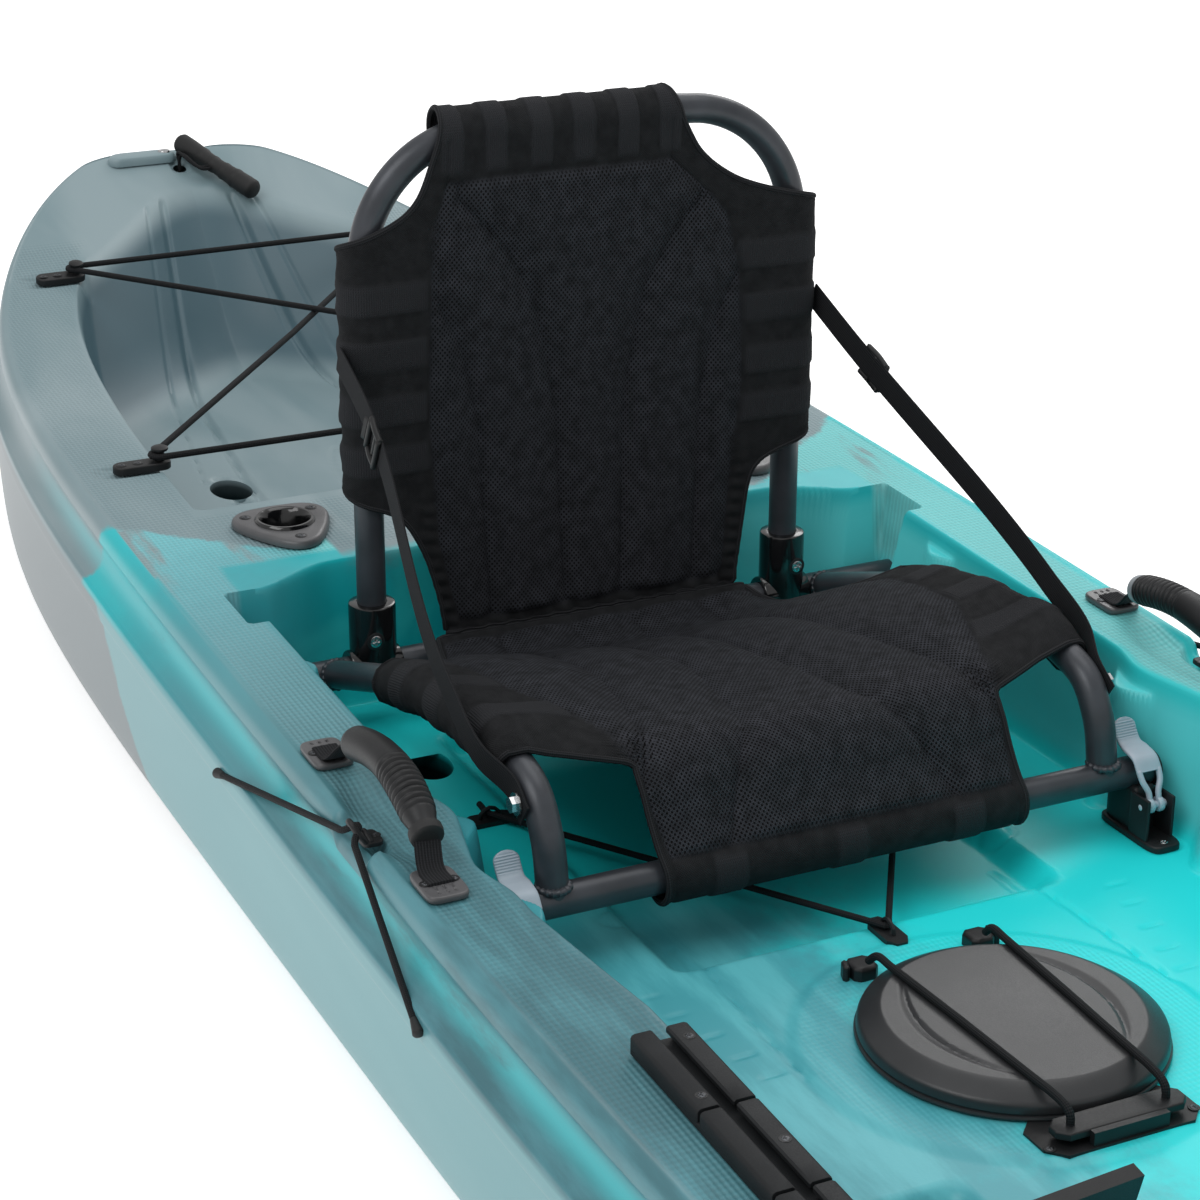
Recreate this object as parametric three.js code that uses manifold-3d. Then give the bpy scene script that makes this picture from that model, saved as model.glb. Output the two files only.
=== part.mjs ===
// Sit-on-top fishing kayak with a framed sling seat.
// Millimetres. +X points to the bow, +Y to port, +Z up. The origin is under the middle of the hull,
// on the plane that the hull stands on.
import * as THREE from 'three';
import { mergeVertices } from 'three/addons/utils/BufferGeometryUtils.js';
import Module from 'manifold-3d';

const wasm = await Module();
wasm.setup();

// Clearances shared by all the pieces
const gap = 0.3;
const overrun = 20;

// Hull envelope
const hull = {
  length: 3140,
  flatBeam: 740,
  gunwaleHeight: 235,
  wall: 4,
  sheerSlope: 0.0278,
  sternRise: 85,
  sternRiseRun: 420,
  bowRise: 150,
  bowRiseRun: 830,
  sternRocker: 150,
  bowRocker: 190,
  endInset: 8,
  stemRun: 6,
};
const halfLength = hull.length / 2;
const halfBeam = hull.flatBeam / 2;
// Shares and powers that give the plan outline and the rocker their fullness
const planShares = { sternPower: 4, sternRoot: 0.5, bowPower: 3, bowRoot: 0.62, rockerStart: 0.55, rockerPower: 2.5 };

// Section below the gunwale: how far each line lies outside the flat strip, and how far below it
const topside = {
  crestOut: 10, crestDrop: 14,
  grooveOut: 14, grooveDrop: 36,
  seamOut: 28, seamDrop: 62,
  sideOut: 25, sideDropShare: 0.45,
  bilgeOut: 6, bilgeRise: 46,
  turnIn: 34, turnRise: 10,
  tunnelRise: 14,
};
const bottomShares = { sponson: 0.64, tunnel: 0.43, keel: 0.2 };

// Wells and decks, by the lines that bound them
const tankWell = {
  apexX: 95 - halfLength, apexHalf: 30, cornerX: 247 - halfLength, cornerHalf: 179, archPower: 0.65,
  floorAftX: 280 - halfLength, floorForeX: -604, rimForeX: -590, floorZ: 140, strip: 80, coving: 16,
};
const cockpit = {
  ridgeFrontX: -430, shoulderX: -365, faceRun: 14, floorZ: 118, strip: 62, coving: 8,
  foreFootX: 900, foreTopX: 960,
};
const trough = { aftX: -318, foreX: 120, run: 18, half: 165, depth: 16 };
const footWell = { aftX: 455, foreX: 880, run: 20, depth: 22, consoleHalf: 130 };
const foreStrip = 78;
const narrowShare = 0.45;
const stripBlend = { tankX: -604, seatX: -430, midX: 200, foreX: 340 };
const stationSpacing = 118;
const edgeStep = 12;

// Seat
const tube = { radius: 12.7 };
const seat = {
  frontX: 85, rearX: -372, barZ: 167, frontHalf: 284, rearHalf: 321, sideY: 241,
  riseX: -185, riseZ: 232, crestX: -20, crestZ: 256,
  backY: 202, backTopZ: 629, backCorner: 108, legFootZ: 190,
  socketRadius: 20.5, socketTopZ: 228, collarRadius: 18, collarWidth: 46,
};
const sling = {
  thickness: 5, rearX: -326, rearZ: 186, rearHalf: 150, wideX: -205, shoulderX: 14, frontHalf: 156, sag: 28, slack: 2.4,
};
const backSling = {
  thickness: 4, sideLowZ: 338, sideHighZ: 536, bottomZ: 214, bottomHalf: 138, topHalf: 108,
  neckHalf: 152, neckZ: 566, sag: 8, lapDrop: 42, slack: 2.8,
};
const strap = { width: 25, thickness: 2.4, boltX: 56, boltZ: 236, topZ: 446, legClear: 24.4 };
const buckle = { length: 34, width: 31, thickness: 8, along: 42 };
const bolt = { headRadius: 6.5, headHeight: 4.5, washerRadius: 9, washerThickness: 1.4 };
const latch = {
  y: 271, baseWidth: 30, baseAft: 24, baseFore: 54, baseThickness: 6, cradleHalf: 19, cradleWidth: 22,
  pivotX: 30, pivotDrop: 17, pinRadius: 3, earWidth: 3, earReach: 11, earTop: 9, leverWidth: 20, leverThickness: 4.5,
};

// Hatch in the middle of the deck
const hatch = {
  x: 325, boreRadius: 88, collarRadius: 103, collarHeight: 11, neckDepth: 24, neckWall: 3.4,
  lidRadius: 109, lidHeight: 17, bevel: 14, bevelRise: 4, lidCrown: 2.5, skirt: 4, sealRadius: 2.2,
  anchorX: 204, anchorY: 50, anchorLength: 22, anchorWidth: 18, anchorHeight: 12,
  cordRadius: 3, tabX: 450, tabLength: 22, tabWidth: 104, tabThickness: 5, tabLift: 5, tabHoleY: 38,
  catchForeX: 468, catchLength: 60, catchWidth: 124, catchThickness: 4, catchChamfer: 24, lipWidth: 60, lipThickness: 5,
};

// Deck fittings
const hook = { length: 54, width: 18, thickness: 4, postRadius: 4.5, postHeight: 10, capRadius: 8, capThickness: 3 };
const hookPlaces = { aftInset: 272, aftY: 214, foreX: -714, foreY: 300, endTurn: 130 };
const tankHooks = [
  { end: 'aft', x: hookPlaces.aftInset - halfLength, y: hookPlaces.aftY },
  { end: 'fore', x: hookPlaces.foreX, y: hookPlaces.foreY },
];
const bungee = { radius: 3.2, keeperRadius: 2.6 };
const rodHolder = { x: -514, y: 228, boreRadius: 21, wall: 3, depth: 165, tilt: 14, flangeRadius: 47, flangeThickness: 7 };
const track = { x: 386, y: 308, length: 350, width: 40, height: 13, slotWidth: 9, headWidth: 19, headHeight: 5.5, lip: 4 };
const handle = {
  aftX: -72, foreX: 146, y: 355, plateLength: 40, plateWidth: 30, plateThickness: 4, gripAftX: -14, gripForeX: 118,
  gripRadius: 14.5, arch: 38, webWidth: 20, webThickness: 2.4,
};
const keeper = { hookX: 45, aftX: -196, foreX: 214, hookLength: 26, hookWidth: 16, hookThickness: 4 };
const padeye = { length: 46, width: 18, thickness: 4, eyeRadius: 9, wire: 3.4 };
const seatEyes = { centreX: 158, sideX: -142, sideY: 193, cordLift: 3.2 };
const toggle = { holeX: halfLength - 50.4, holeRadius: 8, gripLength: 120, gripRadius: 12, cordRadius: 3, lead: 35, across: 36, lean: 25 };
const footRail = { x: 500, length: 340, height: 26, thickness: 9, z: 186 };
const pedal = { x: 670, width: 92, height: 118, thickness: 10, blockLength: 60, blockThickness: 14, rake: 14 };
const scupper = { radius: 17, wall: 4, tankX: -927, tankY: 145, seatX: -264, seatY: 200, bowX: 840, bowY: 190 };
const scuppers = [
  { x: scupper.tankX, y: scupper.tankY },
  { x: scupper.seatX, y: scupper.seatY },
  { x: scupper.bowX, y: scupper.bowY },
];
const drain = { radius: 9, headRadius: 17, headHeight: 7.7, depth: 22, z: 262 };
const notch = { aftX: -398, foreX: -329, outerY: 327, innerY: 285 };

const finishes = {
  shell: { color: 0x35bfc4, roughness: 0.45, metalness: 0 },
  plastic: { color: 0x1b1c1e, roughness: 0.5, metalness: 0 },
  greyPlastic: { color: 0x9aa3ab, roughness: 0.5, metalness: 0 },
  tubeCoat: { color: 0x2c2e33, roughness: 0.45, metalness: 0.4 },
  fabric: { color: 0x17181a, roughness: 0.9, metalness: 0 },
  cord: { color: 0x131415, roughness: 0.8, metalness: 0 },
  steel: { color: 0xc4c6c8, roughness: 0.3, metalness: 1 },
  rubber: { color: 0x101112, roughness: 0.8, metalness: 0 },
};

const part = new THREE.Group();

// Plain helpers
const clamp = (v) => Math.min(1, Math.max(0, v));
const lerp = (a, b, t) => a + (b - a) * t;
const rad = THREE.MathUtils.degToRad;
const ramp = (a, b, v) => clamp((v - a) / (b - a));
const sides = [{ name: 'port', s: 1 }, { name: 'starboard', s: -1 }];
// Radius of a faceted bore that clears a round of the given radius at every turn
const boreFor = (radius, facets) => (radius + gap) / Math.cos(Math.PI / facets);

function add(name, geometry, finish, parent = part) {
  const mesh = new THREE.Mesh(geometry, new THREE.MeshStandardMaterial(finishes[finish]));
  mesh.name = name;
  parent.add(mesh);
  return mesh;
}

function solid(geometry) {
  const bare = new THREE.BufferGeometry();
  bare.setAttribute('position', geometry.getAttribute('position'));
  if (geometry.index) bare.setIndex(geometry.index);
  const merged = mergeVertices(bare);
  const vertProperties = new Float32Array(merged.getAttribute('position').array);
  const triVerts = new Uint32Array(merged.index.array);
  return new wasm.Manifold(new wasm.Mesh({ numProp: 3, vertProperties, triVerts }));
}

function geometryOf(manifold) {
  const mesh = manifold.getMesh();
  const geometry = new THREE.BufferGeometry();
  geometry.setAttribute('position', new THREE.BufferAttribute(mesh.vertProperties, 3));
  geometry.setIndex(new THREE.BufferAttribute(mesh.triVerts, 1));
  return geometry;
}

const joined = (...list) => geometryOf(list.map(solid).reduce((a, b) => a.add(b)));
const cutBy = (body, ...tools) => geometryOf(tools.map(solid).reduce((a, b) => a.subtract(b), solid(body)));

function box(length, width, height, x, y, z) {
  return new THREE.BoxGeometry(length, width, height).translate(x, y, z);
}

function cylinder(radius, height, segments, axis, x, y, z, topRadius = radius) {
  const geometry = new THREE.CylinderGeometry(topRadius, radius, height, segments);
  if (axis === 'z') geometry.rotateX(Math.PI / 2);
  if (axis === 'x') geometry.rotateZ(-Math.PI / 2);
  return geometry.translate(x, y, z);
}

function circleShape(radius, segments) {
  const points = Array.from({ length: segments }, (_, i) => {
    const a = (i / segments) * 2 * Math.PI;
    return new THREE.Vector2(radius * Math.cos(a), radius * Math.sin(a));
  });
  return new THREE.Shape(points);
}

function rectShape(width, height) {
  const [w, h] = [width / 2, height / 2];
  return new THREE.Shape([[-w, -h], [w, -h], [w, h], [-w, h]].map((p) => new THREE.Vector2(...p)));
}

// A plate of the given outline, standing on z = 0
function plate(shape, thickness) {
  return new THREE.ExtrudeGeometry(shape, { depth: thickness, bevelEnabled: false });
}

function stadium(length, width, segments = 5) {
  const points = [];
  for (const end of [1, -1]) {
    for (let i = 0; i <= segments; i += 1) {
      const a = (i / segments - 0.5) * Math.PI + (end < 0 ? Math.PI : 0);
      points.push(new THREE.Vector2(end * (length - width) / 2 + width / 2 * Math.cos(a), width / 2 * Math.sin(a)));
    }
  }
  return new THREE.Shape(points);
}

function along(shape, points, steps, tension = 0.5) {
  const vectors = points.map((p) => new THREE.Vector3(...p));
  const path = vectors.length === 2
    ? new THREE.LineCurve3(...vectors)
    : new THREE.CatmullRomCurve3(vectors, false, 'catmullrom', tension);
  return new THREE.ExtrudeGeometry(shape, { steps, extrudePath: path, bevelEnabled: false });
}

// One closed skin through rings of equal count, closed at both ends by a fan
function skin(rings) {
  const count = rings[0].length;
  const positions = rings.flat(2);
  const index = [];
  for (let i = 0; i + 1 < rings.length; i += 1) {
    for (let j = 0; j < count; j += 1) {
      const k = (j + 1) % count;
      const [a, b, c, d] = [i * count + j, i * count + k, (i + 1) * count + k, (i + 1) * count + j];
      index.push(a, b, c, a, c, d);
    }
  }
  for (const [ring, start, turn] of [[rings[0], 0, -1], [rings.at(-1), (rings.length - 1) * count, 1]]) {
    const middle = [0, 1, 2].map((axis) => ring.reduce((sum, p) => sum + p[axis], 0) / count);
    const centre = positions.push(...middle) / 3 - 1;
    for (let j = 0; j < count; j += 1) {
      const [a, b] = [start + j, start + ((j + 1) % count)];
      index.push(...(turn > 0 ? [a, b, centre] : [b, a, centre]));
    }
  }
  const geometry = new THREE.BufferGeometry();
  geometry.setAttribute('position', new THREE.Float32BufferAttribute(positions, 3));
  geometry.setIndex(volumeOf(positions, index) < 0 ? index.reverse() : index);
  return geometry;
}

function volumeOf(positions, index) {
  const corner = (i) => new THREE.Vector3(...positions.slice(3 * i, 3 * i + 3));
  let sum = 0;
  for (let i = 0; i < index.length; i += 3) {
    const [a, b, c] = [corner(index[i]), corner(index[i + 1]), corner(index[i + 2])];
    sum += a.dot(b.cross(c));
  }
  return sum;
}

// A grid of points in rows, thickened to both sides of itself
function sheet(rows, thickness) {
  const at = (i, j) => new THREE.Vector3(...rows[i][j]);
  const last = [rows.length - 1, rows[0].length - 1];
  const rings = rows.map((row, i) => {
    const faces = row.map((p, j) => {
      const along = at(Math.min(i + 1, last[0]), j).sub(at(Math.max(i - 1, 0), j));
      const across = at(i, Math.min(j + 1, last[1])).sub(at(i, Math.max(j - 1, 0)));
      const n = along.cross(across).normalize().multiplyScalar(thickness / 2);
      return [at(i, j).add(n).toArray(), at(i, j).sub(n).toArray()];
    });
    return [...faces.map((f) => f[0]), ...faces.map((f) => f[1]).reverse()];
  });
  return skin(rings);
}

// Hull lines
function flatHalf(x) {
  const t = Math.abs(x) / (halfLength + hull.stemRun);
  const [power, root] = x < 0
    ? [planShares.sternPower, planShares.sternRoot]
    : [planShares.bowPower, planShares.bowRoot];
  return halfBeam * (1 - t ** power) ** root;
}

function sheer(x) {
  const stern = ramp(halfLength - hull.sternRiseRun, halfLength, -x) ** 2 * hull.sternRise;
  const bow = ramp(halfLength - hull.bowRiseRun, halfLength, x) ** 2 * hull.bowRise;
  return hull.gunwaleHeight - hull.sheerSlope * (x - seat.frontX) + stern + bow;
}

function keel(x) {
  const share = ramp(planShares.rockerStart, 1, Math.abs(x) / halfLength);
  return share ** planShares.rockerPower * (x < 0 ? hull.sternRocker : hull.bowRocker);
}

// Half-width of the wells at their rim, which is the inner edge of the flat strip
function rimHalf(x) {
  if (x <= tankWell.apexX) return tankWell.apexHalf;
  if (x < tankWell.cornerX) {
    const share = ramp(tankWell.apexX, tankWell.cornerX, x) ** tankWell.archPower;
    return lerp(tankWell.apexHalf, tankWell.cornerHalf, share);
  }
  const toSeat = lerp(tankWell.strip, cockpit.strip, ramp(stripBlend.tankX, stripBlend.seatX, x));
  const strip = lerp(toSeat, foreStrip, ramp(stripBlend.midX, stripBlend.foreX, x));
  return Math.max(flatHalf(x) - strip, flatHalf(x) * narrowShare);
}

// Depth shares: 0 on deck, 1 on a well's floor
const tankShare = (x) => Math.min(
  ramp(tankWell.apexX, tankWell.floorAftX, x),
  1 - ramp(tankWell.floorForeX, tankWell.rimForeX, x),
);
function cockpitShare(x, edgeX) {
  const aft = ramp(edgeX, edgeX + cockpit.faceRun, x);
  return Math.min(aft, 1 - ramp(cockpit.foreFootX, cockpit.foreTopX, x));
}
const inside = (from, to, run, x) => Math.min(ramp(from, from + run, x), 1 - ramp(to, to + run, x));

function deckHeight(x, edgeX) {
  if (x < tankWell.rimForeX) return lerp(sheer(x), tankWell.floorZ, tankShare(x));
  return lerp(sheer(x), cockpit.floorZ, cockpitShare(x, edgeX));
}

// Half section from the middle of the deck, out over the gunwale and down to the keel
function halfSection(x) {
  const flat = flatHalf(x);
  const k = flat / halfBeam;
  const [deck, foot] = [sheer(x), keel(x)];
  const rim = rimHalf(x);
  const inWell = x > tankWell.rimForeX ? cockpit.coving : tankWell.coving;
  const inner = Math.min(x > stripBlend.foreX ? footWell.consoleHalf : trough.half, rim * 0.6);
  const wallFoot = rim - Math.min(inWell, rim * 0.2);
  const middle = deckHeight(x, cockpit.ridgeFrontX) - trough.depth * inside(trough.aftX, trough.foreX, trough.run, x);
  const side = deckHeight(x, cockpit.ridgeFrontX) - footWell.depth * inside(footWell.aftX, footWell.foreX, footWell.run, x);
  const outer = deckHeight(x, cockpit.shoulderX)
    - footWell.depth * inside(footWell.aftX, footWell.foreX, footWell.run, x);
  const seamZ = deck - topside.seamDrop;
  return [
    [0, middle],
    [inner, middle],
    [Math.min(inner + edgeStep, rim * 0.7), side],
    [Math.max(wallFoot - edgeStep, rim * 0.75), side],
    [wallFoot, outer],
    [rim, deck],
    [flat, deck],
    [flat + topside.crestOut * k, deck - topside.crestDrop],
    [flat + topside.grooveOut * k, deck - topside.grooveDrop],
    [flat + topside.seamOut * k, seamZ],
    [flat + topside.sideOut * k, lerp(seamZ, foot, topside.sideDropShare)],
    [flat + topside.bilgeOut * k, foot + topside.bilgeRise],
    [flat - topside.turnIn * k, foot + topside.turnRise],
    [flat * bottomShares.sponson, foot],
    [flat * bottomShares.tunnel, foot + topside.tunnelRise],
    [flat * bottomShares.keel, foot],
    [0, foot],
  ];
}

// Stations: every line that bounds a well, with even ones between them
function stationList() {
  const marks = [
    hull.endInset - halfLength, tankWell.apexX, lerp(tankWell.apexX, tankWell.cornerX, 0.3), tankWell.cornerX, tankWell.floorAftX,
    tankWell.floorForeX, tankWell.rimForeX, cockpit.ridgeFrontX, cockpit.ridgeFrontX + cockpit.faceRun,
    cockpit.shoulderX, cockpit.shoulderX + cockpit.faceRun, trough.aftX, trough.aftX + trough.run,
    trough.foreX, trough.foreX + trough.run, stripBlend.midX, stripBlend.foreX, footWell.aftX,
    footWell.aftX + footWell.run, footWell.foreX, cockpit.foreFootX, cockpit.foreTopX, halfLength,
  ];
  return marks.flatMap((from, i) => {
    if (i + 1 === marks.length) return [from];
    const fill = Math.ceil((marks[i + 1] - from) / stationSpacing);
    return Array.from({ length: fill }, (_, j) => lerp(from, marks[i + 1], j / fill));
  });
}
const stations = stationList();

// Height of the flat strip on the facets between two stations
function stripHeight(x) {
  const i = Math.max(1, stations.findIndex((s) => s >= x));
  const share = ramp(stations[i - 1], stations[i], x);
  return lerp(sheer(stations[i - 1]), sheer(stations[i]), share);
}

function hullRings() {
  return stations.map((x) => {
    const half = halfSection(x);
    const port = half.map(([y, z]) => [x, y, z]);
    const starboard = half.slice(1, -1).reverse().map(([y, z]) => [x, -y, z]);
    return [...port, ...starboard];
  });
}

// The same skin, drawn in by the wall along its own normals
function hollow(geometry, depth) {
  const inner = geometry.clone();
  inner.computeVertexNormals();
  const [p, n] = [inner.getAttribute('position'), inner.getAttribute('normal')];
  for (let i = 0; i < p.count; i += 1) {
    p.setXYZ(i, p.getX(i) - n.getX(i) * depth, p.getY(i) - n.getY(i) * depth, p.getZ(i) - n.getZ(i) * depth);
  }
  return inner;
}

function floorAt(x) {
  return x < tankWell.rimForeX ? tankWell.floorZ : cockpit.floorZ;
}

function scupperBore(place, side, radius, reach) {
  const top = floorAt(place.x) + reach;
  return cylinder(radius, top + reach, 12, 'z', place.x, side * place.y, (top - reach) / 2);
}

function notchBox(side, grow) {
  const [width, depth] = [notch.foreX - notch.aftX + 2 * grow, notch.outerY - notch.innerY + grow];
  const low = seat.barZ - tube.radius - gap - grow;
  const high = hull.gunwaleHeight + 2 * overrun;
  const y = side * ((notch.outerY + notch.innerY + grow) / 2);
  return box(width, depth, high - low, (notch.aftX + notch.foreX) / 2, y, (low + high) / 2);
}

function rodHolderAxis(side) {
  const lean = THREE.MathUtils.degToRad(rodHolder.tilt);
  return { x: rodHolder.x, y: side * rodHolder.y, z: stripHeight(rodHolder.x), lean };
}

function rodHolderRound(side, radius, from, to, segments) {
  const place = rodHolderAxis(side);
  const geometry = new THREE.CylinderGeometry(radius, radius, to - from, segments);
  geometry.rotateX(Math.PI / 2).translate(0, 0, (from + to) / 2).rotateY(-place.lean);
  return geometry.translate(place.x, place.y, place.z);
}

function makeHull() {
  const outer = skin(hullRings());
  const inner = hollow(outer, hull.wall);
  const bothSides = (make) => sides.map(({ s }) => solid(make(s)));
  const bores = scuppers.flatMap((p) => bothSides((s) => scupperBore(p, s, scupper.radius, overrun)));
  const columns = scuppers.flatMap((p) => bothSides((s) => scupperBore(p, s, scupper.radius + scupper.wall, overrun)));
  const notches = bothSides((s) => notchBox(s, 0));
  const notchWalls = bothSides((s) => notchBox(s, hull.wall));
  const cavity = [...columns, ...notchWalls].reduce((a, b) => a.subtract(b), solid(inner));
  const rodBores = bothSides((s) => rodHolderRound(
    s, rodHolder.boreRadius + rodHolder.wall + 2 * gap, -overrun, overrun, 16,
  ));
  const hatchBore = solid(cylinder(hatch.boreRadius, 2 * overrun, 28, 'z', hatch.x, 0, cockpit.floorZ));
  const cordBores = [-1, 1].map((end) => solid(
    cylinder(toggle.holeRadius, 2 * overrun, 8, 'z', end * toggle.holeX, 0, stripHeight(end * toggle.holeX)),
  ));
  const drainBore = solid(cylinder(boreFor(drain.radius, 10), 3 * overrun, 10, 'x', hull.endInset - halfLength, 0, drain.z));
  const tools = [cavity, ...bores, ...notches, ...rodBores, hatchBore, ...cordBores, drainBore];
  return geometryOf(tools.reduce((a, b) => a.subtract(b), solid(outer)));
}

// A group that lies on the flat strip at x, turned with its slope
function onStrip(x, y) {
  const group = new THREE.Group();
  const rise = stripHeight(x + hook.width / 2) - stripHeight(x - hook.width / 2);
  group.position.set(x, y, stripHeight(x) + gap);
  group.rotation.y = -Math.atan2(rise, hook.width);
  part.add(group);
  return group;
}

// Tank well: four hooks and one elastic cord laced over them
function hookGeometry(side) {
  const base = plate(stadium(hook.length, hook.width), hook.thickness).rotateZ(Math.PI / 2);
  const inboard = -side * (hook.length - hook.width) / 2;
  const post = cylinder(hook.postRadius, hook.postHeight, 8, 'z', 0, inboard, hook.thickness + hook.postHeight / 2);
  const capZ = hook.thickness + hook.postHeight + hook.capThickness / 2;
  const cap = cylinder(hook.capRadius, hook.capThickness, 10, 'z', 0, inboard, capZ);
  return joined(base, post, cap);
}

function tankHookPost({ x, y }, side) {
  const inboard = side * (y - (hook.length - hook.width) / 2);
  const slope = (stripHeight(x + hook.width / 2) - stripHeight(x - hook.width / 2)) / hook.width;
  const height = hook.thickness + hook.postHeight / 2;
  return [x - slope * height, inboard, stripHeight(x) + gap + height];
}

// A path that gives its points one by one, so that a tube along it has one ring at each
class Route extends THREE.Curve {
  constructor(points) {
    super();
    this.points = points.map((p) => new THREE.Vector3(...p));
  }

  getPointAt(u, target = new THREE.Vector3()) {
    return target.copy(this.points[Math.round(u * (this.points.length - 1))]);
  }

  getTangentAt(u, target = new THREE.Vector3()) {
    const i = Math.round(u * (this.points.length - 1));
    const here = this.points[i];
    const before = this.points[Math.max(0, i - 1)];
    const after = this.points[Math.min(this.points.length - 1, i + 1)];
    const arriving = here.clone().sub(before).normalize();
    return target.copy(after).sub(here).normalize().add(arriving).normalize();
  }
}

function sweep(points, radius, segments = 6) {
  const options = { steps: points.length - 1, extrudePath: new Route(points), bevelEnabled: false };
  return new THREE.ExtrudeGeometry(circleShape(radius, segments), options);
}

// A flat band through the points, its width along the given direction
function band(points, across, width, thickness) {
  const side = new THREE.Vector3(...across).normalize().multiplyScalar(width / 2);
  return sheet(points.map((q) => [-1, 1].map((s) => new THREE.Vector3(...q).addScaledVector(side, s).toArray())), thickness);
}

const arc = (centre, radius, from, to, steps, place) => Array.from({ length: steps + 1 }, (_, i) => {
  const a = THREE.MathUtils.degToRad(lerp(from, to, i / steps));
  return place(centre[0] + radius * Math.cos(a), centre[1] + radius * Math.sin(a));
});

function makeTankCord() {
  const [aft, fore] = tankHooks;
  const r = hook.postRadius + bungee.radius + 2 * gap;
  const [aP, aS, fP, fS] = [
    tankHookPost(aft, 1), tankHookPost(aft, -1), tankHookPost(fore, 1), tankHookPost(fore, -1),
  ];
  const round = (post, from, to) => arc([post[0], post[1]], r / Math.cos(Math.PI / 8), from, to, 4, (x, y) => [x, y, post[2]]);
  const crossing = (a, b, lift) => [lerp(a[0], b[0], 0.5), lerp(a[1], b[1], 0.5), lerp(a[2], b[2], 0.5) + lift];
  const lift = bungee.radius + gap;
  const endGap = r * Math.SQRT2;
  return sweep([
    [aP[0] - r, aP[1] - endGap, aP[2]],
    ...round(aS, 180, 350),
    crossing(aS, fP, lift),
    ...round(fP, 170, 0),
    ...round(fS, 0, -170),
    crossing(fS, aP, -lift),
    ...round(aP, -10, hookPlaces.endTurn),
  ], bungee.radius);
}

function makeTankWell() {
  for (const place of tankHooks) {
    for (const { name, s } of sides) {
      add(`tank_hook_${place.end}_${name}`, hookGeometry(s), 'plastic', onStrip(place.x, s * place.y));
    }
  }
  add('tank_bungee', makeTankCord(), 'cord');
}

// Flush rod holder: a rounded flange with a tilted closed cup under it
function rodHolderGeometry(side) {
  const place = rodHolderAxis(side);
  const corner = rodHolder.flangeRadius;
  const outline = Array.from({ length: 24 }, (_, i) => {
    const a = (i / 24) * 2 * Math.PI;
    const reach = corner * (1 + 0.14 * Math.cos(3 * a));
    return new THREE.Vector2(reach * Math.cos(a), reach * Math.sin(a) * 0.9);
  });
  const slope = Math.atan(hull.sheerSlope);
  const flange = plate(new THREE.Shape(outline), rodHolder.flangeThickness).rotateY(slope);
  flange.translate(place.x, place.y, place.z + gap);
  const outer = rodHolder.boreRadius + rodHolder.wall;
  const cup = rodHolderRound(side, outer, -rodHolder.depth, rodHolder.flangeThickness, 14);
  const bore = rodHolderRound(side, rodHolder.boreRadius, rodHolder.wall - rodHolder.depth, 3 * overrun, 14);
  return cutBy(joined(flange, cup), bore);
}

function makeRodHolders() {
  for (const { name, s } of sides) add(`rod_holder_${name}`, rodHolderGeometry(s), 'plastic');
}

// Round hatch with its collar, seal, lid, two cords, pull bar and catch
const hatchZ = cockpit.floorZ + gap;
function lathed(points, segments = 28) {
  const closed = [...points, points[0]].map((p) => new THREE.Vector2(...p));
  return new THREE.LatheGeometry(closed, segments).rotateX(Math.PI / 2).translate(hatch.x, 0, hatchZ);
}

function makeHatchLid() {
  const { lidRadius, lidHeight, lidCrown, bevel, bevelRise, skirt, collarHeight, collarRadius, sealRadius, boreRadius } = hatch;
  const under = collarHeight + 2 * sealRadius + 2 * gap;
  const inner = collarRadius + 2 * gap;
  const profile = [
    [0, under], [inner, under], [inner, skirt], [lidRadius, skirt], [lidRadius, lidHeight],
    [lidRadius - bevel, lidHeight + bevelRise], [0, lidHeight + bevelRise + lidCrown],
  ].map((p) => new THREE.Vector2(...p));
  const lid = new THREE.LatheGeometry(profile, 28).rotateX(Math.PI / 2).translate(hatch.x, 0, hatchZ);
  add('hatch_lid', lid, 'plastic');
  const middle = [lerp(boreRadius, collarRadius, 0.5), collarHeight + gap + sealRadius];
  add('hatch_seal', lathed(arc(middle, sealRadius, 0, 300, 5, (x, z) => [x, z])), 'rubber');
}

function makeHatchCords() {
  const { tabX, tabLength, tabWidth, tabThickness, tabHoleY, cordRadius, anchorY, bevel, lidRadius } = hatch;
  const top = hatchZ + hatch.lidHeight + hatch.bevelRise + hatch.lidCrown + cordRadius + gap;
  const tabZ = hatchZ + hatch.catchThickness + hatch.tabLift;
  const tab = plate(rectShape(tabLength, tabWidth), tabThickness).translate(tabX, 0, tabZ);
  const holes = sides.map(({ s }) => cylinder(cordRadius + gap, 3 * tabThickness, 8, 'z', tabX, s * tabHoleY, tabZ));
  add('hatch_pull_tab', cutBy(tab, ...holes), 'plastic');
  for (const { name, s } of sides) {
    const route = (x) => s * lerp(anchorY, tabHoleY, ramp(hatch.anchorX, tabX, x));
    const shoulder = hatch.x + lidRadius - bevel / 2;
    const points = [
      [hatch.anchorX + hatch.anchorLength / 4, s * anchorY, hatchZ + hatch.anchorHeight + cordRadius + gap],
      [hatch.x - hatch.boreRadius, route(hatch.x - hatch.boreRadius), top],
      [hatch.x, route(hatch.x), top],
      [shoulder, route(shoulder), top],
      [tabX - 2 * gap, s * tabHoleY, top - bevel / 2],
      [tabX, s * tabHoleY, tabZ + tabThickness],
      [tabX, s * tabHoleY, tabZ + gap],
    ];
    add(`hatch_cord_${name}`, sweep(points, cordRadius), 'cord');
  }
}

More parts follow.
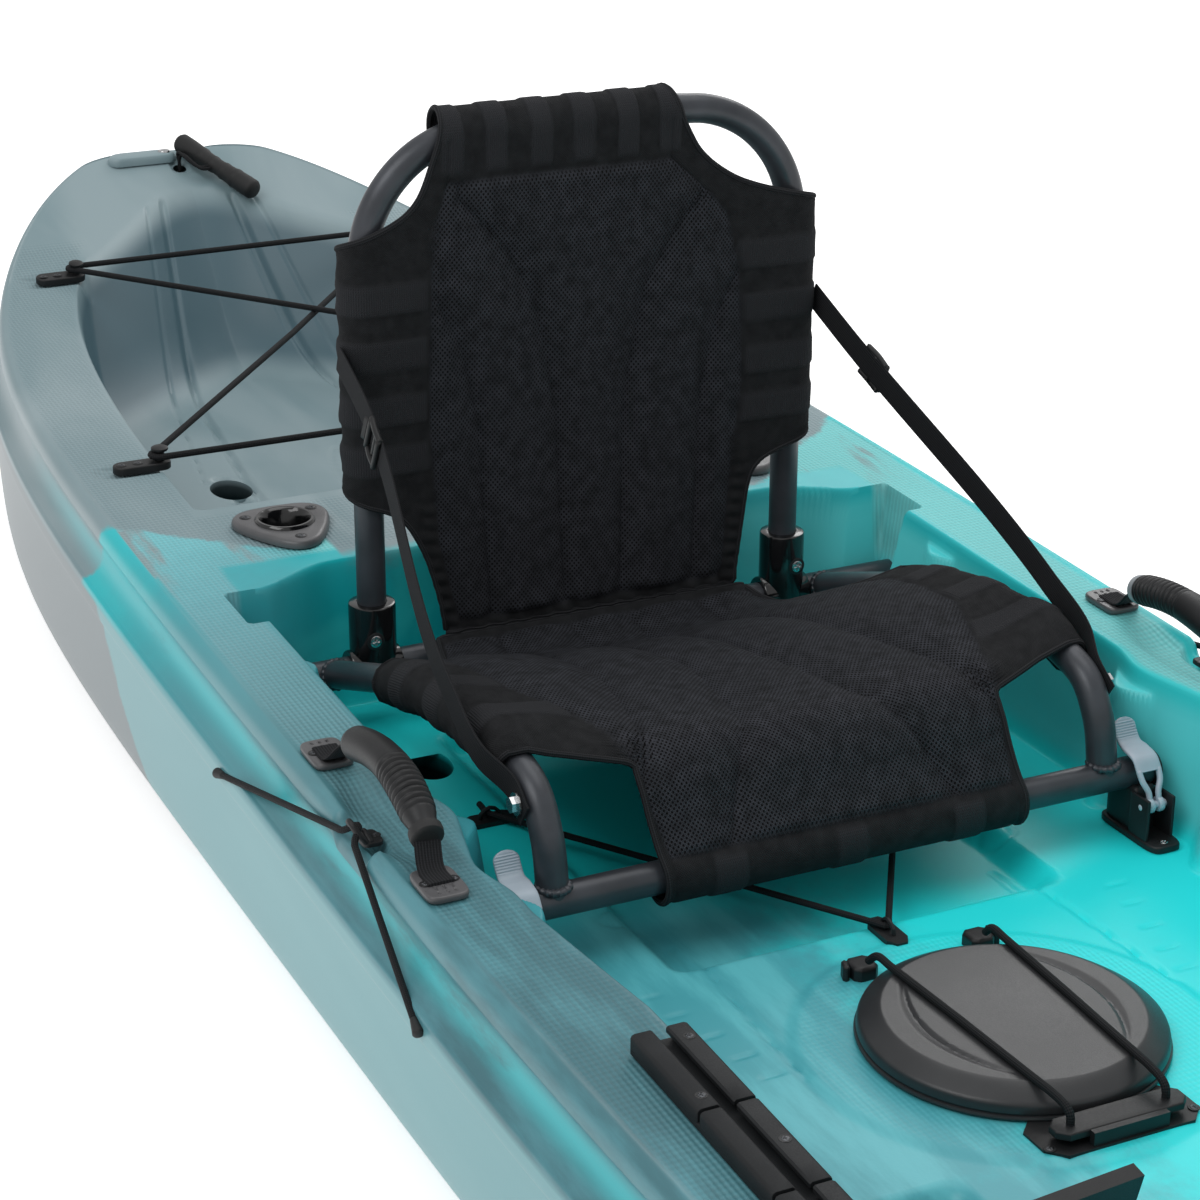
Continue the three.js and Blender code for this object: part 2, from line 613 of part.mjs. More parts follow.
function makeHatchCatch() {
  const { catchForeX, catchLength, catchWidth, catchThickness, catchChamfer, lipWidth, lipThickness, tabX, tabLength } = hatch;
  const [aft, half] = [catchForeX - catchLength, catchWidth / 2];
  const outline = [
    [catchForeX, half - catchChamfer / 2], [catchForeX - catchChamfer / 2, half], [aft + catchChamfer, half], [aft, half - catchChamfer],
  ];
  const mirrored = outline.map(([x, y]) => [x, -y]).reverse();
  const base = plate(new THREE.Shape([...outline, ...mirrored].map((p) => new THREE.Vector2(...p))), catchThickness);
  base.translate(0, 0, hatchZ);
  const lipHeight = hatch.tabLift + hatch.tabThickness + gap;
  const lipX = tabX + tabLength / 2 + gap + lipThickness / 2;
  const lip = box(lipThickness, lipWidth, lipHeight + gap, lipX, 0, hatchZ + catchThickness + lipHeight / 2 - gap / 2);
  const round = cylinder(hatch.lidRadius + gap, 4 * catchThickness, 28, 'z', hatch.x, 0, hatchZ);
  add('hatch_catch', cutBy(joined(base, lip), round), 'plastic');
}

function makeHatch() {
  const { boreRadius, collarRadius, collarHeight, neckDepth, neckWall } = hatch;
  const neck = boreRadius - 2 * gap;
  add('hatch_collar', lathed([
    [neck - neckWall, -neckDepth], [neck, -neckDepth], [neck, 0], [collarRadius, 0],
    [collarRadius, collarHeight], [neck - neckWall, collarHeight],
  ]), 'plastic');
  makeHatchLid();
  makeHatchCords();
  makeHatchCatch();
  for (const { name, s } of sides) {
    const length = hatch.anchorLength;
    const base = box(length, hatch.anchorWidth, hatch.anchorHeight, hatch.anchorX, s * hatch.anchorY, hatchZ + hatch.anchorHeight / 2);
    add(`hatch_cord_anchor_${name}`, base, 'plastic');
  }
}

// Slotted accessory tracks on the strips ahead of the seat
function makeTracks() {
  const { width, height, slotWidth, headWidth, headHeight, lip, length } = track;
  const [w, neck, head] = [width / 2, slotWidth / 2, headWidth / 2];
  const [headTop, headLow] = [height - lip, height - lip - headHeight];
  const half = [[w, 0], [w, height - lip / 2], [w - lip / 2, height], [neck, height], [neck, headTop], [head, headTop], [head, headLow]];
  const outline = [...half, ...half.map(([y, z]) => [-y, z]).reverse()].map((p) => new THREE.Vector2(...p));
  for (const { name, s } of sides) {
    const rail = plate(new THREE.Shape(outline), length).rotateX(Math.PI / 2).rotateZ(Math.PI / 2);
    const rise = stripHeight(track.x + length) - stripHeight(track.x);
    const mesh = add(`accessory_track_${name}`, rail, 'plastic');
    mesh.rotation.y = -Math.atan2(rise, length);
    mesh.position.set(track.x, s * track.y, Math.max(stripHeight(track.x), stripHeight(track.x + length) - rise) + gap);
  }
}

// Side carry handles: two end plates, a webbing strap and an arched grip threaded on it
function handleArch(share) {
  return hookBase() + handle.arch * Math.sin(Math.PI * share);
}
const hookBase = () => handle.plateThickness + handle.webThickness;

function makeCarryHandles() {
  const { aftX, foreX, y, plateLength, plateWidth, plateThickness, gripAftX, gripForeX, gripRadius } = handle;
  const base = gap + plateThickness + gripRadius * 0.62;
  const height = (x) => stripHeight(x) + base + handle.arch * Math.sin(Math.PI * ramp(aftX, foreX, x));
  for (const { name, s } of sides) {
    for (const [end, x] of [['aft', aftX], ['fore', foreX]]) {
      const fixing = plate(stadium(plateLength, plateWidth, 3), plateThickness);
      add(`handle_plate_${end}_${name}`, fixing, 'plastic', onStrip(x, s * y));
    }
    const grip = circleShape(gripRadius, 10);
    const [bw, bt] = [handle.webWidth / 2 + gap, handle.webThickness / 2 + 2 * gap];
    grip.holes.push(new THREE.Path([[-bw, -bt], [-bw, bt], [bw, bt], [bw, -bt]].map((p) => new THREE.Vector2(...p))));
    const line = Array.from({ length: 7 }, (_, i) => lerp(gripAftX, gripForeX, i / 6)).map((x) => [x, s * y, height(x)]);
    add(`carry_grip_${name}`, new THREE.ExtrudeGeometry(grip, { steps: 6, extrudePath: new Route(line), bevelEnabled: false }), 'plastic');
    const onPlate = (x) => [x, s * y, stripHeight(x) + 3 * gap + plateThickness + handle.webThickness / 2];
    const ends = [aftX - plateLength / 8, aftX + plateLength / 3, foreX - plateLength / 3, foreX + plateLength / 8].map(onPlate);
    add(`carry_web_${name}`, band([ends[0], ends[1], ...line, ends[2], ends[3]], [0, 1, 0], handle.webWidth, handle.webThickness), 'fabric');
  }
}

// Elastic paddle keepers on the outside of the hull, each over a hook on the strip
function makeKeepers() {
  const { hookX, aftX, foreX, hookLength, hookWidth, hookThickness } = keeper;
  const r = bungee.keeperRadius;
  for (const { name, s } of sides) {
    const z = stripHeight(hookX - hookLength / 2) + gap;
    const cordY = flatHalf(hookX) + 2 * r;
    const tongueZ = z + 2 * r + 3 * gap + hookThickness / 2;
    const y = flatHalf(hookX) - 1.5 * hookWidth;
    const foot = box(hookLength, hookWidth, tongueZ - z + hookThickness / 2, hookX, s * (y + hookWidth / 2), (z + tongueZ + hookThickness / 2) / 2);
    const tongueWidth = cordY + 2 * r - y;
    const tongue = box(hookLength / 2, tongueWidth, hookThickness, hookX, s * (y + tongueWidth / 2), tongueZ);
    add(`paddle_keeper_hook_${name}`, joined(foot, tongue), 'plastic');
    const low = (x) => [x, s * (flatHalf(x) + topside.seamOut + r + 2 * gap), stripHeight(x) - topside.seamDrop];
    const high = [hookX, s * cordY, z + r];
    const over = (x) => [x, s * (flatHalf(x) + topside.crestOut + r + 2 * gap), z - 2 * r];
    const points = [low(aftX), over(hookX - hookLength / 2), high, over(hookX + hookLength / 2), low(foreX)];
    add(`paddle_keeper_cord_${name}`, sweep(points, r), 'cord');
  }
}

// Padeyes on the floor under the seat, with an elastic cord laid through them in a V
function padeyeGeometry() {
  const { length, width, thickness, eyeRadius, wire } = padeye;
  const base = plate(stadium(length, width, 3), thickness);
  const loop = arc([0, thickness - gap], eyeRadius, 0, 180, 6, (x, z) => [x, 0, z]);
  return joined(base, sweep(loop, wire / 2, 6));
}

function makeUnderSeat() {
  const { centreX, sideX, sideY, cordLift } = seatEyes;
  const floor = cockpit.floorZ + gap;
  const places = [['centre', centreX, 0, 0], ['port', sideX, sideY, 90], ['starboard', sideX, -sideY, 90]];
  for (const [name, x, y, turn] of places) {
    const mesh = add(`seat_padeye_${name}`, padeyeGeometry(), 'plastic');
    mesh.rotation.z = THREE.MathUtils.degToRad(turn);
    mesh.position.set(x, y, floor);
  }
  const z = floor + padeye.thickness + cordLift;
  const tail = [sideX - overrun, sideY + 2 * gap, z];
  const near = [centreX - overrun / 2, overrun / 3, z];
  const points = [tail, [sideX, sideY, z], near, [centreX - gap, 0, z], [near[0], -near[1], z], [sideX, -sideY, z], [tail[0], -tail[1], z]];
  add('seat_floor_bungee', sweep(points, bungee.keeperRadius), 'cord');
}

// Carrying toggle at each end: a grip on a short cord that comes out of the deck
function makeToggle(name, end) {
  const { holeX, gripLength, gripRadius, cordRadius, lead, across, lean } = toggle;
  const [c, s] = [Math.cos(rad(lean)), Math.sin(rad(lean))];
  const hole = new THREE.Vector3(end * holeX, 0, stripHeight(end * holeX));
  const ends = [1, -1].map((t) => {
    const x = end * (holeX - lead) - t * end * c * gripLength / 2;
    return new THREE.Vector3(x, across + t * s * gripLength / 2, stripHeight(x) + gripRadius + 4 * gap);
  });
  const axis = ends[0].clone().sub(ends[1]).normalize();
  const middle = ends[0].clone().add(ends[1]).multiplyScalar(0.5);
  const reach = hole.clone().sub(middle);
  reach.addScaledVector(axis, -reach.dot(axis)).setZ(0).normalize();
  const grip = new THREE.CylinderGeometry(gripRadius, gripRadius, gripLength, 12);
  const bore = new THREE.CylinderGeometry(cordRadius + gap, cordRadius + gap, 3 * gripRadius, 8);
  const turned = (geometry, direction) => geometry
    .applyQuaternion(new THREE.Quaternion().setFromUnitVectors(new THREE.Vector3(0, 1, 0), direction))
    .translate(...middle.toArray());
  add(`toggle_grip_${name}`, cutBy(turned(grip, axis), turned(bore, reach)), 'rubber');
  const beside = middle.clone().addScaledVector(reach, gripRadius + 2 * cordRadius);
  const points = [
    hole.clone().setZ(hole.z + cordRadius / 2), hole.clone().setZ(hole.z + gripRadius), beside,
    middle.clone().addScaledVector(reach, gripRadius), middle.clone().addScaledVector(reach, -gripRadius),
  ];
  add(`toggle_cord_${name}`, sweep(points.map((p) => p.toArray()), cordRadius), 'cord');
}

// Foot braces: a rail on each inner wall with a pedal that slides along it
function wallAt(x, z) {
  const i = Math.max(1, stations.findIndex((s) => s >= x));
  const half = [stations[i - 1], stations[i]].map(halfSection);
  const share = ramp(stations[i - 1], stations[i], x);
  const [foot, rim] = [4, 5].map((k) => [0, 1].map((a) => lerp(half[0][k][a], half[1][k][a], share)));
  return lerp(foot[0], rim[0], ramp(foot[1], rim[1], z));
}

function makeFootBraces() {
  const { x, length, height, thickness, z } = footRail;
  const low = z - height / 2;
  const samples = Array.from({ length: 8 }, (_, i) => x + (i / 7) * length);
  const slope = (wallAt(x + length, low) - wallAt(x, low)) / length;
  const clear = Math.min(...samples.map((v) => wallAt(v, low) - slope * (v - x)));
  for (const { name, s } of sides) {
    const group = new THREE.Group();
    group.position.set(x, s * (clear - 2 * gap), z);
    group.rotation.z = s * Math.atan(slope);
    part.add(group);
    const groove = box(length - 2 * thickness, thickness, height / 3, length / 2, -s * thickness, 0);
    add(`foot_rail_${name}`, cutBy(box(length, thickness, height, length / 2, -s * thickness / 2, 0), groove), 'plastic', group);
    const { width, height: tall, thickness: thick, blockLength, blockThickness, rake } = pedal;
    const at = pedal.x - x;
    const blockY = thickness + gap + blockThickness / 2;
    const block = box(blockLength, blockThickness, height, at, -s * blockY, 0);
    const face = box(thick, width, tall, 0, 0, 0).rotateY(THREE.MathUtils.degToRad(rake));
    face.translate(at, -s * (blockY + width / 2 - gap), tall / 5);
    add(`foot_pedal_${name}`, joined(block, face), 'plastic', group);
  }
}

// Welded seat base: two cross bars and two bent side tubes
function sideTubePoints(s) {
  const { sideY, rearX, frontX, barZ, riseX, riseZ, crestX, crestZ } = seat;
  return [
    [rearX, s * sideY, barZ], [riseX - overrun, s * sideY, riseZ - overrun / 3], [riseX + overrun, s * sideY, riseZ + overrun / 4],
    [crestX - 4 * overrun, s * sideY, crestZ - overrun / 3], [crestX, s * sideY, crestZ], [crestX + 2 * overrun, s * sideY, crestZ - overrun / 5],
    [frontX - 1.5 * overrun, s * sideY, crestZ - 0.8 * overrun], [frontX - 0.6 * overrun, s * sideY, crestZ - 2 * overrun], [frontX, s * sideY, barZ],
  ];
}

function sideTubeHeight(x) {
  const points = sideTubePoints(1);
  const i = Math.max(1, points.findIndex((p) => p[0] >= x));
  return lerp(points[i - 1][2], points[i][2], ramp(points[i - 1][0], points[i][0], x));
}

function makeSeatBase() {
  const { frontX, rearX, barZ, frontHalf, rearHalf } = seat;
  const front = cylinder(tube.radius, 2 * frontHalf, 14, 'y', frontX, 0, barZ);
  const rear = cylinder(tube.radius, 2 * rearHalf, 14, 'y', rearX, 0, barZ);
  const rails = sides.map(({ s }) => sweep(sideTubePoints(s), tube.radius - gap, 10));
  add('seat_base_frame', joined(front, rear, ...rails), 'tubeCoat');
}

function makeBackFrame() {
  const { rearX, backY, backTopZ, backCorner, legFootZ, barZ, socketRadius, socketTopZ, collarRadius, collarWidth } = seat;
  const corner = (s, from, to) => arc([s * (backY - backCorner), backTopZ - backCorner], backCorner, from, to, 6, (y, z) => [rearX, y, z]);
  const points = [[rearX, backY, legFootZ], ...corner(1, 0, 90), ...corner(-1, 90, 180), [rearX, -backY, legFootZ]];
  add('seat_back_frame', sweep(points, tube.radius, 12), 'tubeCoat');
  for (const { name, s } of sides) {
    const sleeve = cylinder(socketRadius, socketTopZ - barZ, 14, 'z', rearX, s * backY, (socketTopZ + barZ) / 2);
    const collar = cylinder(collarRadius, collarWidth, 14, 'y', rearX, s * backY, barZ);
    const barBore = cylinder(boreFor(tube.radius, 14), 2 * collarWidth, 14, 'y', rearX, s * backY, barZ);
    const legBore = cylinder(tube.radius + gap, socketTopZ, 12, 'z', rearX, s * backY, legFootZ - gap + socketTopZ / 2);
    add(`seat_back_socket_${name}`, cutBy(joined(sleeve, collar), barBore, legBore), 'plastic');
  }
}

// Back sling: sleeves round the legs and the top tube, with a slightly sagging panel between
function wrapRow(half, tubeY, radius, place) {
  const flat = Math.min(half, tubeY);
  const turn = Math.max(0, half - tubeY) / radius;
  const row = half > tubeY
    ? [1, 0.75, 0.5, 0.25].map((share) => [tubeY + radius * Math.sin(turn * share), radius * Math.cos(turn * share)])
    : [1, 0.99, 0.98, 0.97].map((share) => [half * share, radius]);
  const middle = [0.96, 0.75, 0.4, 0, -0.4, -0.75, -0.96].map((share) => [flat * share, radius]);
  if (half > tubeY) [middle[0][0], middle.at(-1)[0]] = [tubeY, -tubeY];
  const mirrored = row.map(([y, out]) => [-y, out]).reverse();
  return [...row, ...middle, ...mirrored].map(([y, out]) => place(y, out));
}

// Rows that unwrap a sleeve from its tube between two places, down to the given narrow half-width
function unwrap(from, to, tubeY, radius, narrow, row) {
  const halves = [0.98, 0.66, 0.33, 0].map((share) => tubeY + radius * Math.PI * share);
  return [...halves, narrow].map((half, i) => row(lerp(from, to, i / halves.length), half));
}

function makeBackSling() {
  const { thickness, sideLowZ, sideHighZ, bottomZ, bottomHalf, topHalf, neckHalf, neckZ, sag, lapDrop, slack } = backSling;
  const { rearX, backY, backTopZ } = seat;
  const radius = tube.radius + thickness + slack;
  const wrapped = backY + radius * Math.PI * 0.98;
  const narrow = backY - 2 * radius;
  const sagAt = (y, z) => sag * Math.cos(Math.PI / 2 * clamp(Math.abs(y) / narrow)) * Math.sin(Math.PI * ramp(bottomZ, backTopZ, z));
  const flatRow = (z, half) => wrapRow(half, backY, radius, (y, out) => [rearX + out - sagAt(y, z), y, z]);
  const rows = [
    flatRow(bottomZ, bottomHalf),
    flatRow(lerp(bottomZ, sideLowZ, 0.6), lerp(bottomHalf, narrow, 0.6)),
    ...unwrap(sideLowZ, sideLowZ - edgeStep, backY, radius, narrow, flatRow).reverse(),
    flatRow(lerp(sideLowZ, sideHighZ, 0.5), wrapped),
    ...unwrap(sideHighZ - edgeStep, sideHighZ, backY, radius, narrow, flatRow),
    flatRow(neckZ, neckHalf),
    flatRow(backTopZ - edgeStep, topHalf + edgeStep),
  ];
  for (const turn of [0, 45, 90, 135, 180]) {
    const [c, s] = [Math.cos(rad(turn)), Math.sin(rad(turn))];
    rows.push(wrapRow(topHalf, backY, radius, (y) => [rearX + radius * c, y, backTopZ + radius * s]));
  }
  rows.push(wrapRow(topHalf, backY, radius, (y) => [rearX - radius, y, backTopZ - lapDrop]));
  add('seat_back_sling', sheet(rows, thickness), 'fabric');
}

// Seat sling: sleeves over the side tubes, wrapped round the front bar
function makeSeatSling() {
  const { thickness, rearX, rearZ, rearHalf, wideX, shoulderX, frontHalf, sag, slack } = sling;
  const { sideY, frontX, barZ } = seat;
  const radius = tube.radius + thickness + slack;
  const wrapped = sideY + radius * Math.PI * 0.98;
  const narrow = sideY - 2 * radius;
  const dip = (y, amount) => amount * (1 - clamp(Math.abs(y) / sideY) ** 2);
  const over = (x, half) => wrapRow(half, sideY, radius, (y, out) => [x, y, sideTubeHeight(x) + out - dip(y, sag)]);
  const rows = [
    wrapRow(rearHalf, sideY, radius, (y) => [rearX, y, rearZ]),
    ...unwrap(wideX, wideX - edgeStep, sideY, radius, narrow, over).reverse(),
    over(lerp(wideX, shoulderX, 0.5), wrapped),
    ...unwrap(shoulderX, shoulderX + edgeStep, sideY, radius, narrow, over),
    wrapRow(frontHalf, sideY, radius, (y) => [frontX - 2 * radius, y, barZ + 1.7 * radius]),
  ];
  for (const turn of [60, 15, -30, -75, -120, -165]) {
    const [c, s] = [Math.cos(rad(turn)), Math.sin(rad(turn))];
    rows.push(wrapRow(frontHalf, sideY, radius, (y) => [frontX + radius * c, y, barZ + radius * s]));
  }
  add('seat_sling', sheet(rows, thickness), 'fabric');
}

// Side straps with their buckles, and the bolts that hold them to the side tubes
function strapPoints(s) {
  const { boltX, boltZ, topZ } = strap;
  const onTube = seat.sideY + tube.radius + strap.thickness / 2;
  const clear = seat.sideY + 2 * tube.radius + gap;
  const back = seat.backY + strap.legClear;
  return [
    [boltX + overrun / 2, s * onTube, boltZ - overrun / 3], [boltX - overrun / 2, s * onTube, boltZ + overrun / 3],
    [sling.shoulderX, s * clear, boltZ + 1.1 * overrun],
    [boltX - 5 * overrun, s * clear, boltZ + 2.5 * overrun],
    [seat.rearX + 3 * overrun, s * (back + 4 * gap), topZ - overrun], [seat.rearX + tube.radius, s * back, topZ + gap],
  ];
}

function makeStraps() {
  const { width, thickness } = strap;
  for (const { name, s } of sides) {
    const points = strapPoints(s);
    const [low, high] = points.slice(-3, -1).map((p) => new THREE.Vector3(...p));
    const run = high.clone().sub(low).normalize();
    const across = run.clone().cross(new THREE.Vector3(0, s, 0)).normalize();
    add(`seat_strap_${name}`, band(points, across.toArray(), width, thickness), 'fabric');
    const body = cutBy(
      box(buckle.length, buckle.thickness, buckle.width, 0, 0, 0),
      box(2 * buckle.length, thickness + 4 * gap, width + 4 * gap, 0, 0, 0),
    );
    const at = high.clone().addScaledVector(run, -buckle.along);
    const basis = new THREE.Matrix4().makeBasis(run, across.clone().cross(run), across);
    add(`seat_buckle_${name}`, body.applyMatrix4(basis.setPosition(at)), 'plastic');
    const y = Math.abs(points[0][1]) + thickness / 2 + 2 * gap;
    const { washerRadius, washerThickness, headRadius, headHeight } = bolt;
    const washer = cylinder(washerRadius, washerThickness + gap, 12, 'y', strap.boltX, s * (y + washerThickness / 2), strap.boltZ);
    const head = cylinder(headRadius, headHeight, 6, 'y', strap.boltX, s * (y + washerThickness + headHeight / 2), strap.boltZ);
    add(`strap_bolt_${name}`, joined(washer, head), 'steel');
  }
}

// Latches that hold the ends of the front bar down
function makeLatches() {
  const { y, baseAft, baseFore, baseWidth, baseThickness, cradleHalf, cradleWidth, pivotX, pivotDrop, pinRadius } = latch;
  const { earWidth, earReach, earTop, leverWidth, leverThickness } = latch;
  const { frontX, barZ } = seat;
  const floor = cockpit.floorZ + gap;
  for (const { name, s } of sides) {
    const foot = box(baseAft + baseFore, baseWidth, baseThickness, frontX + (baseFore - baseAft) / 2, s * y, floor + baseThickness / 2);
    const cradle = box(2 * cradleHalf, cradleWidth, barZ - floor, frontX, s * y, (barZ + floor) / 2);
    const [px, pz] = [frontX + pivotX, barZ - pivotDrop];
    const ear = (side) => box(2 * earReach, earWidth, pz + earTop - floor, px, s * y + side * (leverWidth / 2 + gap + earWidth / 2), (pz + earTop + floor) / 2);
    const barBore = cylinder(tube.radius + gap, 3 * baseWidth, 14, 'y', frontX, s * y, barZ);
    const pinBore = cylinder(pinRadius + gap, 3 * baseWidth, 10, 'y', px, s * y, pz);
    add(`latch_base_${name}`, cutBy(joined(foot, cradle, ear(1), ear(-1)), barBore, pinBore), 'plastic');
    const r = tube.radius + leverThickness;
    const points = [
      [px, pz], [px - gap, pz + earTop], [frontX + r * 1.15, barZ + r * 0.5], [frontX + r * 0.72, barZ + r * 0.86],
      [frontX, barZ + r * 1.04], [frontX - r * 0.5, barZ + r * 1.14], [frontX - r * 1.06, barZ + r * 1.98],
    ].map(([x, z]) => [x, s * y, z]);
    const arm = band(points, [0, 1, 0], leverWidth, leverThickness);
    const pin = cylinder(pinRadius, leverWidth + 2 * earWidth, 10, 'y', px, s * y, pz);
    add(`latch_lever_${name}`, joined(arm, pin), 'greyPlastic');
  }
}

function makeDrainPlug() {
  const face = hull.endInset - halfLength;
  const { radius, headRadius, headHeight, depth, z } = drain;
  const head = cylinder(headRadius, headHeight, 16, 'x', face - gap - headHeight / 2, 0, z);
  const stem = cylinder(radius, depth, 10, 'x', face - gap + depth / 2 - gap, 0, z);
  add('drain_plug', joined(head, stem), 'rubber');
}

add('hull', makeHull(), 'shell');
makeTankWell();
makeRodHolders();
makeHatch();
makeTracks();
makeCarryHandles();
makeKeepers();
makeUnderSeat();
makeToggle('stern', -1);
makeToggle('bow', 1);
makeFootBraces();
makeSeatBase();
makeBackFrame();
makeBackSling();
makeSeatSling();
makeStraps();
makeLatches();
makeDrainPlug();

export default part;
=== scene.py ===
"""A sit-on-top fishing kayak with a framed sling seat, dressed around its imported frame.

Lengths are millimetres until a mesh is made. +X points to the bow, +Y to port, +Z up, and the hull stands on
z = 0. A side is 1 for port and -1 for starboard.
Each surface is a grid of points: a height over the plan, or a profile carried along a path.
"""
import math

import bpy
import numpy as np
from mathutils import Matrix


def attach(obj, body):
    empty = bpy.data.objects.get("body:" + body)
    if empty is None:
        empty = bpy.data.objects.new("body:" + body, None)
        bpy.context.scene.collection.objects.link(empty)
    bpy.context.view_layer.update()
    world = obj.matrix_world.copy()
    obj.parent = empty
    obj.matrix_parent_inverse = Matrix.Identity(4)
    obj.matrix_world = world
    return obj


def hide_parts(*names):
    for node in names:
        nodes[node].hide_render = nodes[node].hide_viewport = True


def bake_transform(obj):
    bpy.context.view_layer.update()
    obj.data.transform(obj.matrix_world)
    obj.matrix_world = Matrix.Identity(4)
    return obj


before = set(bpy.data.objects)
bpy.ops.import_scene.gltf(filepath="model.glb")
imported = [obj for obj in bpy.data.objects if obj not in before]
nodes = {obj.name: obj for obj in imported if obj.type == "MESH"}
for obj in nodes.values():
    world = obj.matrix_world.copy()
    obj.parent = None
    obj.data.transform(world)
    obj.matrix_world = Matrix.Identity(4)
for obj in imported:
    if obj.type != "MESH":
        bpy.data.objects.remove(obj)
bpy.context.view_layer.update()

MM = 0.001
SIDES = (("port", 1), ("starboard", -1))

# Hull lines
HALF_LENGTH, HALF_BEAM, STEM_RUN = 1570.0, 370.0, 6.0
STERN_END, BOW_END, END_ROUND = -1562.0, 1570.0, 27.0
GUNWALE, SHEER_SLOPE, BAR_X = 235.0, 0.0278, 85.0
TANK_FLOOR, SEAT_FLOOR, WELL_SPLIT = 140.0, 118.0, -510.0
END_DROP, END_PINCH, SEAM_DROP, SCUPPER_R = 10.0, 0.5, 61.5, 17.0
TANK_APEX, TANK_FORE, RIDGE_FRONT, COCKPIT_FORE = -1475.0, -590.0, -430.0, 960.0
WALL_SLOPE, FACE_SLOPE, ARCH_SLOPE, APEX_SLOPE, FOOT_SLOPE = 6.5, 6.0, 1.3, 1.05, 2.3
NOTCH_AFT, NOTCH_FORE, NOTCH_HALF, NOTCH_FLOOR = -397.0, -330.0, 327.0, 153.0

# Seat
BAR_Z, REAR_X, SIDE_Y, LEG_Y, BACK_TOP = 167.0, -372.0, 241.0, 202.0, 629.0
TUBE_R, SLING_R, BACK_FOOT = 12.7, 19.6, 195.0
BACK_RUN = BACK_TOP - BACK_FOOT

# Hatch and fittings
HATCH_X, DECK_Z = 325.0, 118.3
SCUPPERS = ((-927.0, 145.0, 32.0, 21.0), (-264.0, 198.0, 31.0, 21.0), (840.0, 190.0, 26.0, 20.0))
ROD_X, ROD_Y = -514.0, 228.0
TOGGLE_X, KEEPER_X, ANCHOR_X, ANCHOR_Y, CATCH_X = 1519.6, 45.0, 204.0, 50.0, 450.0
GRIP_AFT, GRIP_FORE, GRIP_Y, TRACK_Y, LATCH_Y = -72.0, 146.0, 355.0, 308.0, 271.0
HOOKS = ((-1298.0, 214.0), (-714.0, 300.0))


def ramp(start, end, value):
    """Share of the way from start to end, held between 0 and 1."""
    return np.clip((value - start) / (end - start), 0.0, 1.0)


def lerp(a, b, share):
    return a + (b - a) * share


def smooth(share):
    """The share eased at both ends."""
    return share * share * (3 - 2 * share)


def hump(value, centre, half):
    """A smooth bump of height 1 at the centre, gone at the half-width."""
    return smooth(1 - np.clip(np.abs(value - centre) / half, 0, 1))


def soft_min(a, b, blend):
    """The lesser of a and b, rounded off where they are within blend of each other."""
    share = np.clip(0.5 + 0.5 * (b - a) / blend, 0, 1)
    return lerp(b, a, share) - blend * share * (1 - share)


def soft_max(a, b, blend):
    return -soft_min(-a, -b, blend)


def unit(vectors):
    return vectors / np.maximum(np.linalg.norm(vectors, axis=-1, keepdims=True), 1e-9)


def run_along(points):
    """The length along a line of points, from 0 at the first of them."""
    return np.concatenate([[0], np.cumsum(np.linalg.norm(np.diff(points, axis=0), axis=1))])


def turns(count):
    """Even angles once round a circle."""
    return np.arange(count) * 2 * math.pi / count


# Meshes

def enclosed(points, faces):
    """Six times the volume inside the faces, as a sum of fans from the middle: its sign tells which way
    they face."""
    middle = points.mean(0)
    total = 0.0
    for count in (3, 4):
        corners = np.array([face for face in faces if len(face) == count], int)
        if len(corners):
            fan = points[corners] - middle
            for k in range(1, count - 1):
                total += np.einsum("ij,ij->i", fan[:, 0], np.cross(fan[:, k], fan[:, k + 1])).sum()
    return total


def placed(name, data):
    """An object of that mesh, lamp or camera, in the scene."""
    made = bpy.data.objects.new(name, data)
    bpy.context.scene.collection.objects.link(made)
    return made


def put_mesh(
    name, points, faces, finish, body=None, closed=True, crease=40, uv=None, fields=None, slot=None
):
    """One mesh object from points in mm and faces as corner lists. A closed one is turned so that it
    faces outward."""
    points = np.asarray(points, float)
    faces = [tuple(face) for face in (faces.tolist() if isinstance(faces, np.ndarray) else faces)]
    if closed and enclosed(points, faces) < 0:
        faces = [face[::-1] for face in faces]
    mesh = bpy.data.meshes.new(name)
    mesh.from_pydata(points * MM, [], faces)
    mesh.materials.append(finish)
    mesh.polygons.foreach_set("use_smooth", np.ones(len(faces), bool))
    mesh.set_sharp_from_angle(angle=math.radians(crease))
    for field, values in (fields or {}).items():
        layer = mesh.attributes.new(field, "FLOAT", "POINT")
        layer.data.foreach_set("value", np.asarray(values, np.float32).ravel())
    if uv is not None:
        corners = np.zeros(len(mesh.loops), np.int32)
        mesh.loops.foreach_get("vertex_index", corners)
        layer = mesh.uv_layers.new(name="lie")
        layer.data.foreach_set("uv", np.asarray(uv, np.float32).reshape(-1, 2)[corners].ravel())
    mesh.update()
    made = placed(name, mesh)
    if body:
        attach(made, body)
    return made


def grid_faces(rows, columns, around=False):
    """Quads between neighbours of a grid. They face along the column direction crossed with the row
    direction."""
    row, column = np.meshgrid(
        np.arange(rows - 1), np.arange(columns if around else columns - 1), indexing="ij"
    )
    here, beside = row * columns + column, row * columns + (column + 1) % columns
    return np.stack([here, beside, beside + columns, here + columns], -1).reshape(-1, 4)


def ring_faces(rows, columns):
    """Faces of a turned ring whose profile is closed on itself."""
    row, column = np.meshgrid(np.arange(rows), np.arange(columns), indexing="ij")
    nxt, after = (row + 1) % rows, (column + 1) % columns
    row, nxt = row * columns, nxt * columns
    return np.stack([row + column, row + after, nxt + after, nxt + column], -1).reshape(-1, 4)


